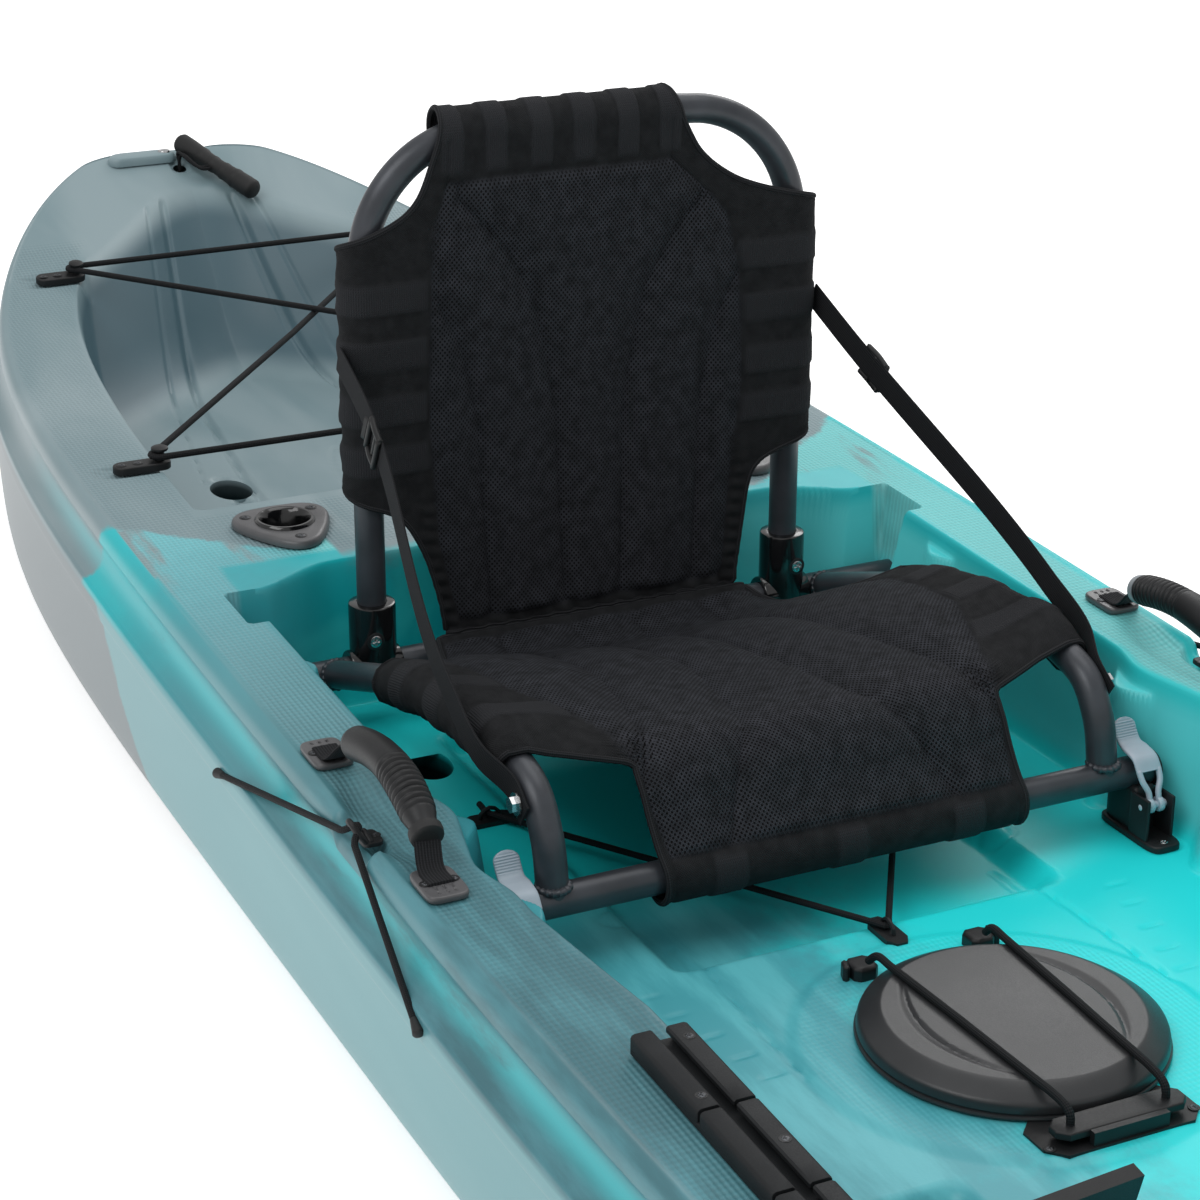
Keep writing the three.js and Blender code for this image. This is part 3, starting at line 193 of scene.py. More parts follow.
def skin(name, parts, finish, body=None, uv=None, **more):
    """A mesh of one closed skin, or of several for a piece that is welded or moulded from them. Each is
    rings of points, shaped rows x columns x 3, with a fan over each end, and is turned to face
    outward."""
    points, faces, start = [], [], 0
    for rings in (parts if isinstance(parts, list) else [parts]):
        rows, columns = rings.shape[:2]
        count, last = rows * columns, (rows - 1) * columns
        own = grid_faces(rows, columns, True).tolist()
        own += [(count, (j + 1) % columns, j) for j in range(columns)]
        own += [(count + 1, last + j, last + (j + 1) % columns) for j in range(columns)]
        spots = np.vstack([rings.reshape(-1, 3), rings[0].mean(0), rings[-1].mean(0)])
        if enclosed(spots, own) < 0:
            own = [face[::-1] for face in own]
        faces += [[corner + start for corner in face] for face in own]
        points.append(spots)
        start += len(spots)
    if uv is not None:
        flat = uv.reshape(-1, 2)
        uv = np.vstack([flat, flat[:columns].mean(0), flat[-columns:].mean(0)])
    return put_mesh(name, np.vstack(points), faces, finish, body, closed=False, uv=uv, **more)


def along(points, spacing):
    """A smooth curve through the points: a cubic on each span, with the slope at a point shared by its
    two chords."""
    knots = np.asarray(points, float)
    chord = np.linalg.norm(np.diff(knots, axis=0), axis=1)
    reach = np.concatenate([[0], np.cumsum(chord)])
    slopes = np.diff(knots, axis=0) / chord[:, None]
    tangent = np.vstack([slopes[:1], slopes[-1:]])
    if len(knots) > 2:
        inner = (
            slopes[:-1] * chord[1:, None] + slopes[1:] * chord[:-1, None]
        ) / (chord[:-1] + chord[1:])[:, None]
        tangent = np.vstack([slopes[:1], inner, slopes[-1:]])
    run = np.linspace(0, reach[-1], max(3, int(reach[-1] / spacing) + 1))
    i = np.clip(np.searchsorted(reach, run, side="right") - 1, 0, len(chord) - 1)
    h, u = chord[i][:, None], ((run - reach[i]) / chord[i])[:, None]
    return (
        (2 * u**3 - 3 * u**2 + 1) * knots[i] + (u**3 - 2 * u**2 + u) * h * tangent[i]
        + (3 * u**2 - 2 * u**3) * knots[i + 1] + (u**3 - u**2) * h * tangent[i + 1]
    )


def taut(points, reach=7.0):
    """The points with two more near the ends of each long span, so that a curve through them is straight
    between."""
    knots = [np.asarray(point, float) for point in points]
    pulled = knots[:1]
    for a, b in zip(knots, knots[1:]):
        length = np.linalg.norm(b - a)
        if length > 4 * reach:
            pulled += [lerp(a, b, reach / length), lerp(a, b, 1 - reach / length)]
        pulled.append(b)
    return np.array(pulled)


def carried(path, first=(0, 0, 1)):
    """Directions along and across a path. Each side direction is the one before it, laid square to the
    path again."""
    tangent = unit(np.gradient(path, axis=0))
    side = np.empty_like(path)
    start = np.cross(first, tangent[0])
    side[0] = start if np.linalg.norm(start) > 0.05 else np.cross((0, 1, 0), tangent[0])
    for i in range(1, len(path)):
        side[i] = side[i - 1] - tangent[i] * np.dot(side[i - 1], tangent[i])
    side = unit(side)
    return tangent, side, np.cross(tangent, side)


def rod_rings(points, radius, spacing=4.0, columns=16):
    """Circles square to a smooth path, with two smaller ones past each end that round it off, and their
    run and turn."""
    path = along(points, spacing)
    tangent, side, up = carried(path)
    count = len(path)
    size = radius(np.linspace(0, 1, count)) if callable(radius) else np.full(count, float(radius))
    pick = np.clip(np.arange(-2, count + 2), 0, count - 1)
    reach = np.concatenate([[-0.42, -0.26], np.zeros(count), [0.26, 0.42]]) * size[pick]
    share = np.concatenate([[0.44, 0.84], np.ones(count), [0.84, 0.44]]) * size[pick]
    turn = turns(columns)
    circle = side[pick][:, None] * np.cos(turn)[:, None] + up[pick][:, None] * np.sin(turn)[:, None]
    middle = path[pick] + tangent[pick] * reach[:, None]
    run = run_along(middle)
    uv = np.stack(np.meshgrid(run, turn * np.mean(size), indexing="ij"), -1)
    return middle[:, None] + circle * share[:, None, None], uv


def rod(name, points, radius, finish, body=None, spacing=4.0, columns=16, **more):
    """A round rod, cord or pipe along a smooth path."""
    rings, uv = rod_rings(points, radius, spacing, columns)
    return skin(name, rings, finish, body, uv=uv, **more)


def band_rings(points, across, width, thickness, spacing=5.0, columns=20):
    """A flat strap's outline, a rounded oblong, carried along a smooth path with its width held across.
    Width and thickness are lengths, or functions of the share of the way along."""
    path = along(points, spacing)
    share = np.linspace(0, 1, len(path))[:, None]
    width, thickness = (size(share) if callable(size) else size + 0 * share for size in (width, thickness))
    tangent = unit(np.gradient(path, axis=0))
    wide = np.broadcast_to(unit(np.asarray(across, float)), path.shape)
    wide = unit(wide - tangent * np.einsum("ij,ij->i", wide, tangent)[:, None])
    flat = np.cross(tangent, wide)
    turn = turns(columns)
    w = np.sign(np.cos(turn)) * np.abs(np.cos(turn)) ** 0.35 * width / 2
    t = np.sign(np.sin(turn)) * np.abs(np.sin(turn)) ** 0.7 * thickness / 2
    run = run_along(path)
    uv = np.stack([np.broadcast_to(run[:, None], w.shape), w], -1)
    return path[:, None] + wide[:, None] * w[..., None] + flat[:, None] * t[..., None], uv


def band(name, points, across, width, thickness, finish, body=None, **more):
    """A webbing strap."""
    rings, uv = band_rings(points, across, width, thickness)
    return skin(name, rings, finish, body, uv=uv, **more)


def turned_rings(profile, centre, axis=(0, 0, 1), columns=64):
    """A profile of (radius, height) pairs turned about an axis through the centre."""
    profile = np.asarray(profile, float)
    axis = np.asarray(axis, float) / np.linalg.norm(axis)
    first = np.cross(axis, (0, 1, 0) if abs(axis[1]) < 0.9 else (1, 0, 0))
    first = first / np.linalg.norm(first)
    second = np.cross(axis, first)
    turn = turns(columns)
    spoke = np.cos(turn)[:, None] * first + np.sin(turn)[:, None] * second
    return np.asarray(centre, float) + profile[:, 0, None, None] * spoke + profile[:, 1, None, None] * axis


def slab_rings(outline, thickness, edge, place):
    """A flat plate with a rounded upper edge. The outline's copies step inward over the edge; place puts
    them in space."""
    outline = np.asarray(outline, float)
    ahead = unit(np.roll(outline, -1, 0) - np.roll(outline, 1, 0))
    inward = np.stack([-ahead[:, 1], ahead[:, 0]], -1)
    middle = outline.mean(0)
    if np.einsum("ij,ij->i", inward, middle - outline).sum() < 0:
        inward = -inward
    steps = [(edge * 0.3, 0.0), (0.0, edge * 0.3), (0.0, thickness - edge)]
    steps += [
        (edge * (1 - math.cos(a)), thickness - edge + edge * math.sin(a))
        for a in (0.4, 0.8, 1.2, math.pi / 2)
    ]
    rings = [
        np.column_stack([outline + inward * inset, np.full(len(outline), height)]) for inset,
        height in steps
    ]
    rings.append(np.column_stack([lerp(outline, middle, 0.5), np.full(len(outline), thickness)]))
    return place(np.array(rings))


def oblong(length, width, power=8, count=72):
    """A rounded oblong outline: a circle whose two axes are raised towards a rectangle by the power."""
    turn = turns(count)
    c, s = np.cos(turn), np.sin(turn)
    reach = (np.abs(c) ** power + np.abs(s) ** power) ** (-1 / power)
    return np.stack([reach * c * length / 2, reach * s * width / 2], -1)


def capsule(length, width, count=64):
    """An outline with straight sides and round ends, long in its first direction."""
    turn = turns(count)
    return np.stack(
        [np.sign(np.cos(turn)) * (length - width) / 2 + np.cos(turn) * width / 2, np.sin(turn) * width / 2],
        -1
    )


def chamfered(length, width, cut, step=2.0):
    """An oblong outline with its four corners cut off, filled with even points."""
    l, w = length / 2, width / 2
    half = [(l, -w + cut), (l, w - cut), (l - cut, w), (-l + cut, w)]
    corners = np.array([*half, *((-x, -y) for x, y in half)])
    runs = [
        np.linspace(a, b, max(2, int(np.hypot(*(b - a)) / step)), endpoint=False) for a,
        b in zip(corners, np.roll(corners, -1, 0))
    ]
    return np.concatenate(runs)


def standing(x, y, z, heading=0.0, tilt=0.0):
    """A function that sets flat points down at x, y, z, turned by a heading in degrees and tilted about
    +Y."""
    c, s = math.cos(math.radians(heading)), math.sin(math.radians(heading))
    ct, st = math.cos(tilt), math.sin(tilt)

    def put(points):
        px = points[..., 0] * c - points[..., 1] * s
        py = points[..., 0] * s + points[..., 1] * c
        pz = points[..., 2]
        return np.stack([px * ct + pz * st + x, py + y, pz * ct - px * st + z], -1)

    return put


# Materials

def linear(code):
    """The linear colour of an sRGB hex value."""
    parts = np.array([int(code[i:i + 2], 16) for i in (1, 3, 5)]) / 255
    parts = np.where(parts <= 0.04045, parts / 12.92, ((parts + 0.055) / 1.055) ** 2.4)
    return (*parts.tolist(), 1.0)


def add(tree, kind, inputs=None, **settings):
    """A node of that kind with its settings, given as the first of its outputs in use. Each input is a
    number, a vector, a hex colour, or another node's output to link."""
    node = tree.nodes.new("ShaderNode" + kind)
    for setting, value in settings.items():
        setattr(node, setting, value)
    for socket, value in (inputs or {}).items():
        if isinstance(value, bpy.types.NodeSocket):
            tree.links.new(value, node.inputs[socket])
        else:
            node.inputs[socket].default_value = linear(value) if isinstance(value, str) else value
    return next(output for output in node.outputs if output.enabled)


def finish_of(name, colour, roughness, **values):
    """A material with its colour, roughness and any other plain values set on the shader."""
    made = bpy.data.materials.new(name)
    made.use_nodes = True
    shader = made.node_tree.nodes["Principled BSDF"]
    shader.inputs["Base Color"].default_value = linear(colour)
    shader.inputs["Roughness"].default_value = roughness
    for socket, value in values.items():
        shader.inputs[socket.replace("_", " ")].default_value = value
    return made, made.node_tree, shader.inputs


def patterned(tree, shader, colour, height, depth, strength=1.0):
    """The pattern's colour and its height, as a bump with a depth in mm, linked to the shader."""
    bump = add(tree, "Bump", {"Height": height, "Distance": depth * MM, "Strength": strength})
    tree.links.new(colour, shader["Base Color"])
    tree.links.new(bump, shader["Normal"])


def layered(tree, colour, *layers):
    """A colour with others laid over it in turn, each by its own share."""
    for share, over in layers:
        colour = add(tree, "Mix", {0: share, 6: colour, 7: over}, data_type="RGBA")
    return colour


def meeting(tree, share, *others):
    """Where several shares meet: their product."""
    for other in others:
        share = add(tree, "Math", {0: share, 1: other}, operation="MULTIPLY")
    return share


def patch(tree, value, start, end, wander=None, reach=0.0):
    """A soft share from 0 to 1 as the value passes from start to end, pushed about by a wandering
    noise."""
    if wander is not None:
        shift = add(tree, "Math", {0: wander, 1: reach, 2: -reach / 2}, operation="MULTIPLY_ADD")
        value = add(tree, "Math", {0: value, 1: shift}, operation="ADD")
    return add(tree, "MapRange", {0: value, 1: start, 2: end}, interpolation_type="SMOOTHSTEP")


def wave(tree, place, length):
    """A sine wave of that length along a place."""
    turned = add(tree, "Math", {0: place, 1: 2 * math.pi / length}, operation="MULTIPLY")
    return add(tree, "Math", {0: turned}, operation="SINE")


def crossed(tree, one, two, one_rate, two_rate):
    """Two sets of slanting strands over each other: the sine of the sum of two places times the sine of
    their difference, each place first turned to radians by its rate."""
    one, two = meeting(tree, one, one_rate), meeting(tree, two, two_rate)
    both = [add(tree, "Math", {0: one, 1: two}, operation=way) for way in ("ADD", "SUBTRACT")]
    return meeting(tree, *(add(tree, "Math", {0: slant}, operation="SINE") for slant in both))


def grained(name, colour, dark, roughness, grain, depth, **values):
    """A moulded or coated finish: fine grain of a size in mm, and slow patches that lighten and roughen
    it a little."""
    made, tree, shader = finish_of(name, colour, roughness, **values)
    here = add(tree, "TexCoord").node.outputs["Object"]
    fine = add(tree, "TexNoise", {"Vector": here, "Scale": 1000 / grain, "Detail": 3.0})
    slow = add(tree, "TexNoise", {"Vector": here, "Scale": 28.0, "Detail": 4.0})
    tone = add(tree, "MapRange", {0: slow, 1: 0.3, 2: 0.7})
    rough = add(tree, "MapRange", {0: fine, 1: 0.3, 2: 0.7, 3: roughness - 0.07, 4: roughness + 0.07})
    tree.links.new(rough, shader["Roughness"])
    patterned(tree, shader, layered(tree, dark, (tone, colour)), fine, depth)
    return made


# Hull: rotationally moulded polyethylene in two swirled resins, a slate grey and a bright turquoise

def make_polyethylene():
    """Satin polyethylene: slate and turquoise resin swirled together in long ragged streaks, and a woven
    grain that the mould prints on the decks to walk on. The attributes tell strips, walls, the lower
    side, the groove above it and the drain holes apart. Every place is in metres."""
    made, tree, shader = finish_of("rotomoulded_polyethylene", "#35bfc4", 0.42, Specular_IOR_Level=0.4)
    here = add(tree, "TexCoord").node.outputs["Object"]
    x, y, z = add(tree, "SeparateXYZ", {0: here}).node.outputs
    long_way = add(tree, "Mapping", {0: here, 3: (0.3, 1.6, 1.6)})
    ragged = add(tree, "TexNoise", {"Vector": here, "Scale": 14.0, "Detail": 7.0, "Roughness": 0.68})
    streaks = add(tree, "TexNoise", {"Vector": long_way, "Scale": 18.0, "Detail": 6.0, "Roughness": 0.6})
    swirl = add(tree, "TexNoise", {"Vector": long_way, "Scale": 5.0, "Detail": 3.0, "Distortion": 0.8})
    grain, wall, low, groove, drain_shade = (
        add(tree, "Attribute", attribute_name=key).node.outputs["Fac"]
        for key in ("grain", "wall", "lower", "groove", "drain_shade")
    )

    # Turquoise resin: bright on the strips, deep on the walls, greyer on the floor round the hatch. The
    # floors' lighter turquoise is painted light standing in for light that reaches the shaded wells.
    floor = patch(tree, z, 0.150, 0.122)
    grey_floor = meeting(
        tree, floor, patch(tree, x, -0.10, 0.10, swirl, 0.3), patch(tree, y, 0.03, -0.10, ragged, 0.22)
    )
    strip = meeting(tree, grain, patch(tree, z, 0.17, 0.19))
    muted = patch(tree, y, -0.20, -0.28)
    deck = layered(
        tree, "#12bbc2", (patch(tree, swirl, 0.40, 0.62), "#30d0d3"), (floor, "#22e8ea"),
        # On the port side the walls turn lighter: a painted highlight.
        (meeting(tree, wall, patch(tree, y, 0.14, 0.20)), "#62dfe2"),
        (grey_floor, layered(tree, "#47a3ae", (patch(tree, streaks, 0.42, 0.66), "#5dbbc4"))),
        (strip, layered(tree, "#78d3d4", (muted, "#75c1c8"))),
        (
            meeting(tree, muted, patch(tree, x, -0.62, -0.30, ragged, 0.2)),
            layered(tree, "#3a9aa4", (strip, "#62a5ae"))
        ),
    )

    # Slate resin fills the stern up to a ragged line that leans aft on the outside, and runs forward to
    # starboard
    across = add(tree, "Math", {0: y}, operation="ABSOLUTE")
    lean = add(tree, "Math", {0: across, 1: 0.9, 2: x}, operation="MULTIPLY_ADD")
    tongues = meeting(
        tree, patch(tree, y, -0.243, -0.236, ragged, 0.01), patch(tree, y, -0.200, -0.208, ragged, 0.01),
        patch(tree, x, -0.525, -0.505, ragged, 0.05),
    )
    slate_aft = meeting(
        tree, patch(tree, lean, -0.244, -0.256, ragged, 0.07), patch(tree, x, -0.425, -0.450, ragged, 0.04),
        patch(tree, tongues, 1.0, 0.0),
    )
    slate_side = meeting(
        tree, patch(tree, y, -0.272, -0.292), patch(tree, x, -0.50, 0.16, swirl, 0.30),
        patch(tree, wall, 0.6, 0.1)
    )
    slate_share = add(tree, "Math", {0: slate_aft, 1: slate_side}, operation="MAXIMUM")
    # The slate on the walls is darker: painted shade on the wells' upright faces.
    slate = layered(
        tree, "#7a9197", (patch(tree, swirl, 0.35, 0.65), "#8c9fa4"),
        (
            slate_side, layered(tree, "#47767f", (patch(tree, streaks, 0.40, 0.62), "#56909a"))
        ), (wall, "#4b6670"),
    )
    wisps = meeting(tree, patch(tree, streaks, 0.54, 0.66), patch(tree, x, -0.36, -0.52), grain)

    # The lower side takes mostly pale resin, and a painted highlight runs in ragged streaks along the groove
    # above it
    sloping = add(tree, "Math", {0: z, 1: 0.86, 2: x}, operation="MULTIPLY_ADD")
    pale = layered(
        tree, "#6aa2a9", (swirl, "#80b3b8"), (patch(tree, sloping, -0.386, -0.398, ragged, 0.06), "#7c878b")
    )
    lit = meeting(tree, groove, patch(tree, streaks, 0.28, 0.50))
    # The last layer darkens the drain columns nearly to black: painted shade deep in the holes.
    colour = layered(
        tree, deck, (wisps, "#86999d"), (slate_share, slate), (low, pale), (lit, "#3cbdc4"),
        (drain_shade, "#071a1e")
    )

    # The mould's grain: short dashes 5.6 mm long in rows 4.2 mm apart, each row shifted by half a dash
    weave = meeting(tree, crossed(tree, x, y, math.pi * 1000 / 5.6, math.pi * 1000 / 4.2), grain)
    # Its colour is darker in the grain's hollows and lighter on its tops: painted shade and highlight.
    tone = add(tree, "MapRange", {0: weave, 1: -1.0, 2: 1.0, 3: 0.88, 4: 1.10})
    shaded_grain_colour = add(tree, "HueSaturation", {"Value": tone, "Color": colour})
    orange_peel = add(tree, "TexNoise", {"Vector": here, "Scale": 1000 / 3.0, "Detail": 2.0})
    height = add(tree, "Math", {0: orange_peel, 1: 0.12, 2: weave}, operation="MULTIPLY_ADD")
    tree.links.new(add(tree, "MapRange", {0: grain, 3: 0.38, 4: 0.55}), shader["Roughness"])
    patterned(tree, shader, shaded_grain_colour, height, 0.45)
    return made


POLYETHYLENE = make_polyethylene()

# Glass-filled nylon, injection moulded: near-black and satin, with a fine spark-eroded grain
BLACK_NYLON = grained(
    "glass_filled_nylon_black", "#202123", "#161718", 0.46, 0.9, 0.05, Specular_IOR_Level=0.35
)
# The rod holders' flanges and the handles' end plates: satin charcoal nylon
CHARCOAL_NYLON = grained("satin_charcoal_nylon", "#5a5a5c", "#49494b", 0.34, 1.1, 0.05)
# The hatch lid: grey-black nylon with an even satin
LID_NYLON = grained("satin_lid_nylon", "#2f3032", "#27282a", 0.38, 0.9, 0.05)
# The ring at the head of the port carry grip: plain light grey nylon
RING_NYLON = grained("light_grey_nylon", "#9aa0a5", "#8b9196", 0.4, 1.2, 0.03)
# The frame's tee sockets: nylon from a polished mould, so it shows sharp highlights
GLOSS_NYLON = grained(
    "polished_black_nylon", "#101113", "#0b0c0d", 0.16, 2.5, 0.02, Coat_Weight=0.4, Coat_Roughness=0.08
)
# Latch levers: blue-grey acetal, waxy and even
ACETAL = grained("blue_grey_acetal", "#b3bfca", "#a6b2be", 0.38, 1.2, 0.03)
# Frame tube: aluminium with a fine-textured satin powder coat
POWDER_COAT = grained("powder_coated_aluminium", "#44474d", "#34373c", 0.36, 0.8, 0.08, Metallic=0.25)
# Bolts, the seat's screws and the stern lug's eye: stainless steel, turned and lightly polished
STAINLESS = grained("turned_stainless_steel", "#c9cacb", "#a9abad", 0.24, 0.5, 0.02, Metallic=1.0)
# The deck fittings' screws: steel with a dark zinc coat
DARK_STEEL = grained("black_zinc_steel", "#5a5c5f", "#47494c", 0.3, 0.5, 0.02, Metallic=1.0)
# Toggle grips, seal, drain plug and the starboard grip's ring: matte moulded rubber
RUBBER = grained("matte_black_rubber", "#151617", "#0f1011", 0.62, 0.7, 0.08)
# Accessory track: charcoal polymer with a faint warm cast
TRACK_POLYMER = grained(
    "extruded_charcoal_track", "#242628", "#1c1e20", 0.55, 1.0, 0.04, Specular_IOR_Level=0.2
)


def lie_of(tree):
    """The piece's own run and turn in mm, from its UV map."""
    return add(tree, "SeparateXYZ", {0: add(tree, "UVMap", uv_map="lie")}).node.outputs


def make_braid():
    """Elastic cord: a braided polyester sleeve on rubber, its two sets of strands 1.6 mm apart crossing
    in a chevron."""
    made, tree, shader = finish_of("braided_elastic_cord", "#141517", 0.75, Specular_IOR_Level=0.25)
    lie, rate = lie_of(tree), 2 * math.pi / 3.2
    braid = crossed(tree, lie[0], lie[1], rate, rate)
    share = add(tree, "MapRange", {0: braid, 1: -1.0, 2: 1.0})
    patterned(tree, shader, layered(tree, "#0a0b0c", (share, "#222427")), braid, 0.25)
    return made


def make_webbing():
    """Polyester webbing: dull black, with ribs along it 2.2 mm apart crossed by finer picks."""
    made, tree, shader = finish_of("ribbed_polyester_webbing", "#161718", 0.85, Specular_IOR_Level=0.2)
    lie = lie_of(tree)
    ribs, picks = wave(tree, lie[1], 2.2), wave(tree, lie[0], 1.7)
    height = add(tree, "Math", {0: picks, 1: 0.4, 2: ribs}, operation="MULTIPLY_ADD")
    share = add(tree, "MapRange", {0: height, 1: -1.4, 2: 1.4})
    patterned(tree, shader, layered(tree, "#141517", (share, "#2e2f32")), height, 0.3, 0.8)
    return made


def make_sling_cloth():
    """Seat cloth in one piece: knitted spacer mesh with small oval holes 1.9 x 2.4 mm apart, plain dense
    weave round it, and webbing sewn on. The mesh and webbing attributes say which of the three shows."""
    made, tree, shader = finish_of("spacer_mesh_and_plain_weave", "#161719", 0.9, Specular_IOR_Level=0.18)
    lie = lie_of(tree)
    mesh, webbing = (
        add(tree, "Attribute", attribute_name=key).node.outputs["Fac"] for key in ("mesh", "webbing")
    )
    cell = meeting(tree, wave(tree, lie[0], 2 * 1.9), wave(tree, lie[1], 2 * 2.4))
    hole = meeting(tree, patch(tree, cell, 0.15, 0.5), mesh)
    warp, weft = wave(tree, lie[0], 1.9), wave(tree, lie[1], 1.9)
    weave, ribs = meeting(tree, warp, weft), meeting(tree, warp, webbing)
    here = add(tree, "TexCoord").node.outputs["Object"]
    fluff = add(tree, "TexNoise", {"Vector": here, "Scale": 90.0, "Detail": 5.0})
    tone = add(tree, "MapRange", {0: fluff, 1: 0.3, 2: 0.7})
    knit = layered(tree, "#26282c", (tone, "#393b41"))
    colour = layered(
        tree, "#1a1b1d", (tone, "#262729"), (mesh, knit), (webbing, "#2c2d30"), (hole, "#050506")
    )
    height = add(tree, "Math", {0: hole, 1: -1.6, 2: weave}, operation="MULTIPLY_ADD")
    height = add(tree, "Math", {0: height, 1: ribs}, operation="ADD")
    patterned(tree, shader, colour, height, 0.35, 0.8)
    return made


BRAID = make_braid()
WEBBING = make_webbing()
SLING_CLOTH = make_sling_cloth()


# Hull surfaces

def flat_half(x):
    """Half-width of the flat deck in plan: a full curve aft, a finer one forward."""
    share = np.clip(np.abs(x) / (HALF_LENGTH + STEM_RUN), 0, 1)
    return HALF_BEAM * np.where(x < 0, (1 - share**4) ** 0.5, (1 - share**3) ** 0.62)


def end_turn(x):
    """How far each end has rounded over, a quarter circle from 0 to 1 at its face."""
    share = np.maximum(ramp(STERN_END + END_ROUND, STERN_END, x), ramp(BOW_END - END_ROUND, BOW_END, x))
    return 1 - np.sqrt(1 - share**2)


def sheer(x):
    """Height of the gunwale strip: a gentle slope that rises to the stern and further to the bow."""
    aft, fore = 85 * ramp(1150, HALF_LENGTH, -x) ** 2, 150 * ramp(740, HALF_LENGTH, x) ** 2
    return GUNWALE - SHEER_SLOPE * (x - BAR_X) + aft + fore


def strip_level(x):
    """Height of the strip, with its drop where each end rounds over."""
    return sheer(x) - END_DROP * end_turn(x)


def narrowing(x):
    """How much of its width the hull keeps where each end rounds over."""
    return 1 - END_PINCH * end_turn(x)


def keel(x):
    """Height of the keel line: none amidships, and a curve up to each stem."""
    return ramp(0.55, 1, np.abs(x) / HALF_LENGTH) ** 2.5 * np.where(x < 0, 150, 190)


def strip_tilt(x):
    """The slope of the strip at a place, as an angle down towards the bow."""
    return math.atan(float(sheer(x - 10.0) - sheer(x + 10.0)) / 20)


def rim_half(x):
    """Half-width of the wells at their rim, the inner edge of the strip, with a double bend beside the
    seat's front bar."""
    strip = lerp(lerp(80, 62, ramp(-604, -430, x)), 78, ramp(200, 340, x))
    strip = strip + 8 * hump(x, 42, 44) - 9 * hump(x, 124, 52)
    return np.maximum(flat_half(x) - strip, 0.45 * flat_half(x))


def well_depth(x, y):
    """Depth of the wells below the gunwale. Each wall is a slope from its rim; the least of the slopes is
    the depth and the floor stops it. The soft joins round the coves, the corners in plan and the rims."""
    across = np.abs(y)
    ribs = 15 * hump(x, 38, 34) + 15 * hump(x, 172, 40) + 12 * hump(x, -262, 30) + 9 * hump(x, -452, 22)
    side = WALL_SLOPE * (rim_half(x) - across)
    side = soft_min(side, soft_max(side - WALL_SLOPE * ribs, 16, 8), 8)
    arch = ARCH_SLOPE * ((x - TANK_APEX) * 149 - (across - 30) * 152) / 213
    tank = soft_min(
        soft_min(APEX_SLOPE * (x - TANK_APEX), arch, 40), soft_min(side, 7 * (TANK_FORE - x), 110), 60
    )
    tank = soft_min(tank, sheer(x) - TANK_FLOOR, 60)
    front = RIDGE_FRONT + 34 * smooth(ramp(215, 300, across))
    seat = soft_min(soft_min(side, FACE_SLOPE * (x - front), 110), FOOT_SLOPE * (COCKPIT_FORE - x), 60)
    seat = soft_min(seat, sheer(x) - SEAT_FLOOR, 42)
    well = soft_max(np.where(x < WELL_SPLIT, tank, seat), 0, 20)
    slot = soft_min(soft_min(9 * (x - NOTCH_AFT), 9 * (NOTCH_FORE - x), 50), 9 * (NOTCH_HALF - across), 50)
    slot = soft_min(slot, sheer(x) - NOTCH_FLOOR, 20)
    slot = np.where(across > 250, np.maximum(slot, 0), 0)
    return soft_max(well, slot, 6)


def sunken(x, y):
    """The floor's shallow forms: the trough under the seat, the foot wells, the ring round the hatch and
    fine lines."""
    across = np.abs(y)
    trough = smooth(ramp(-318, -298, x)) * smooth(ramp(146, 120, x)) * smooth(ramp(174, 152, across)) * 16
    edge = rim_half(x) - across
    wells = smooth(ramp(452, 476, x)) * smooth(ramp(884, 858, x))
    wells = wells * smooth(ramp(124, 146, across)) * smooth(ramp(18, 36, edge)) * 22
    round_hatch = np.hypot(x - HATCH_X, y)
    ring = -2.5 * smooth(ramp(158, 148, round_hatch))
    lines = 5.5 * stroke(x, across, [(-1455, 43), (-1200, 88), (-957, 120), (-791, 134)], 6.5)
    lines += 2.2 * stroke(x, across, [(-1443, 67), (-1200, 118), (-954, 165)], 3.0)
    lines += 2.0 * stroke(x, across, [(-1010, 0), (-985, 12), (-957, 20), (-925, 26), (-890, 28)], 3.0)
    lines += 2.4 * stroke(x, across, [(82, 142), (236, 151), (307, 153)], 3.0)
    lines += 7.0 * (
        hump(np.hypot(x + 964, across - 145), 0, 13) + hump(np.hypot(x + 890, across - 145), 0, 13)
    )
    away = np.hypot(x - 46, across - 170)
    lines += 1.8 * hump(away, 14, 3.4)
    for tick_x, tick_y in ((163, 202), (195, 196), (230, 187), (263, 179), (293, 173)):
        lines += 1.6 * stroke(x, across, [(tick_x, tick_y - 7), (tick_x, tick_y + 7)], 2.6)
    return trough + wells + ring + lines


def stroke(x, y, line, half):
    """A rounded line drawn on the plan: 1 along a run of straight pieces, gone at the half-width from
    it."""
    nearest = np.full(np.broadcast(x, y).shape, 1e9)
    for (ax, ay), (bx, by) in zip(line, line[1:]):
        dx, dy = bx - ax, by - ay
        share = np.clip(((x - ax) * dx + (y - ay) * dy) / (dx**2 + dy**2), 0, 1)
        nearest = np.minimum(nearest, np.hypot(x - ax - share * dx, y - ay - share * dy))
    return smooth(1 - np.clip(nearest / half, 0, 1))


def dish(x, y, cx, cy, hx, hy, depth, ease=0.6):
    """A rounded pocket on both sides: full depth in the middle of an oval, easing out over the outer
    share of it."""
    reach = (np.abs((x - cx) / hx) ** 2.6 + np.abs((np.abs(y) - cy) / hy) ** 2.6) ** (1 / 2.6)
    return depth * smooth(ramp(1, 1 - ease, reach))


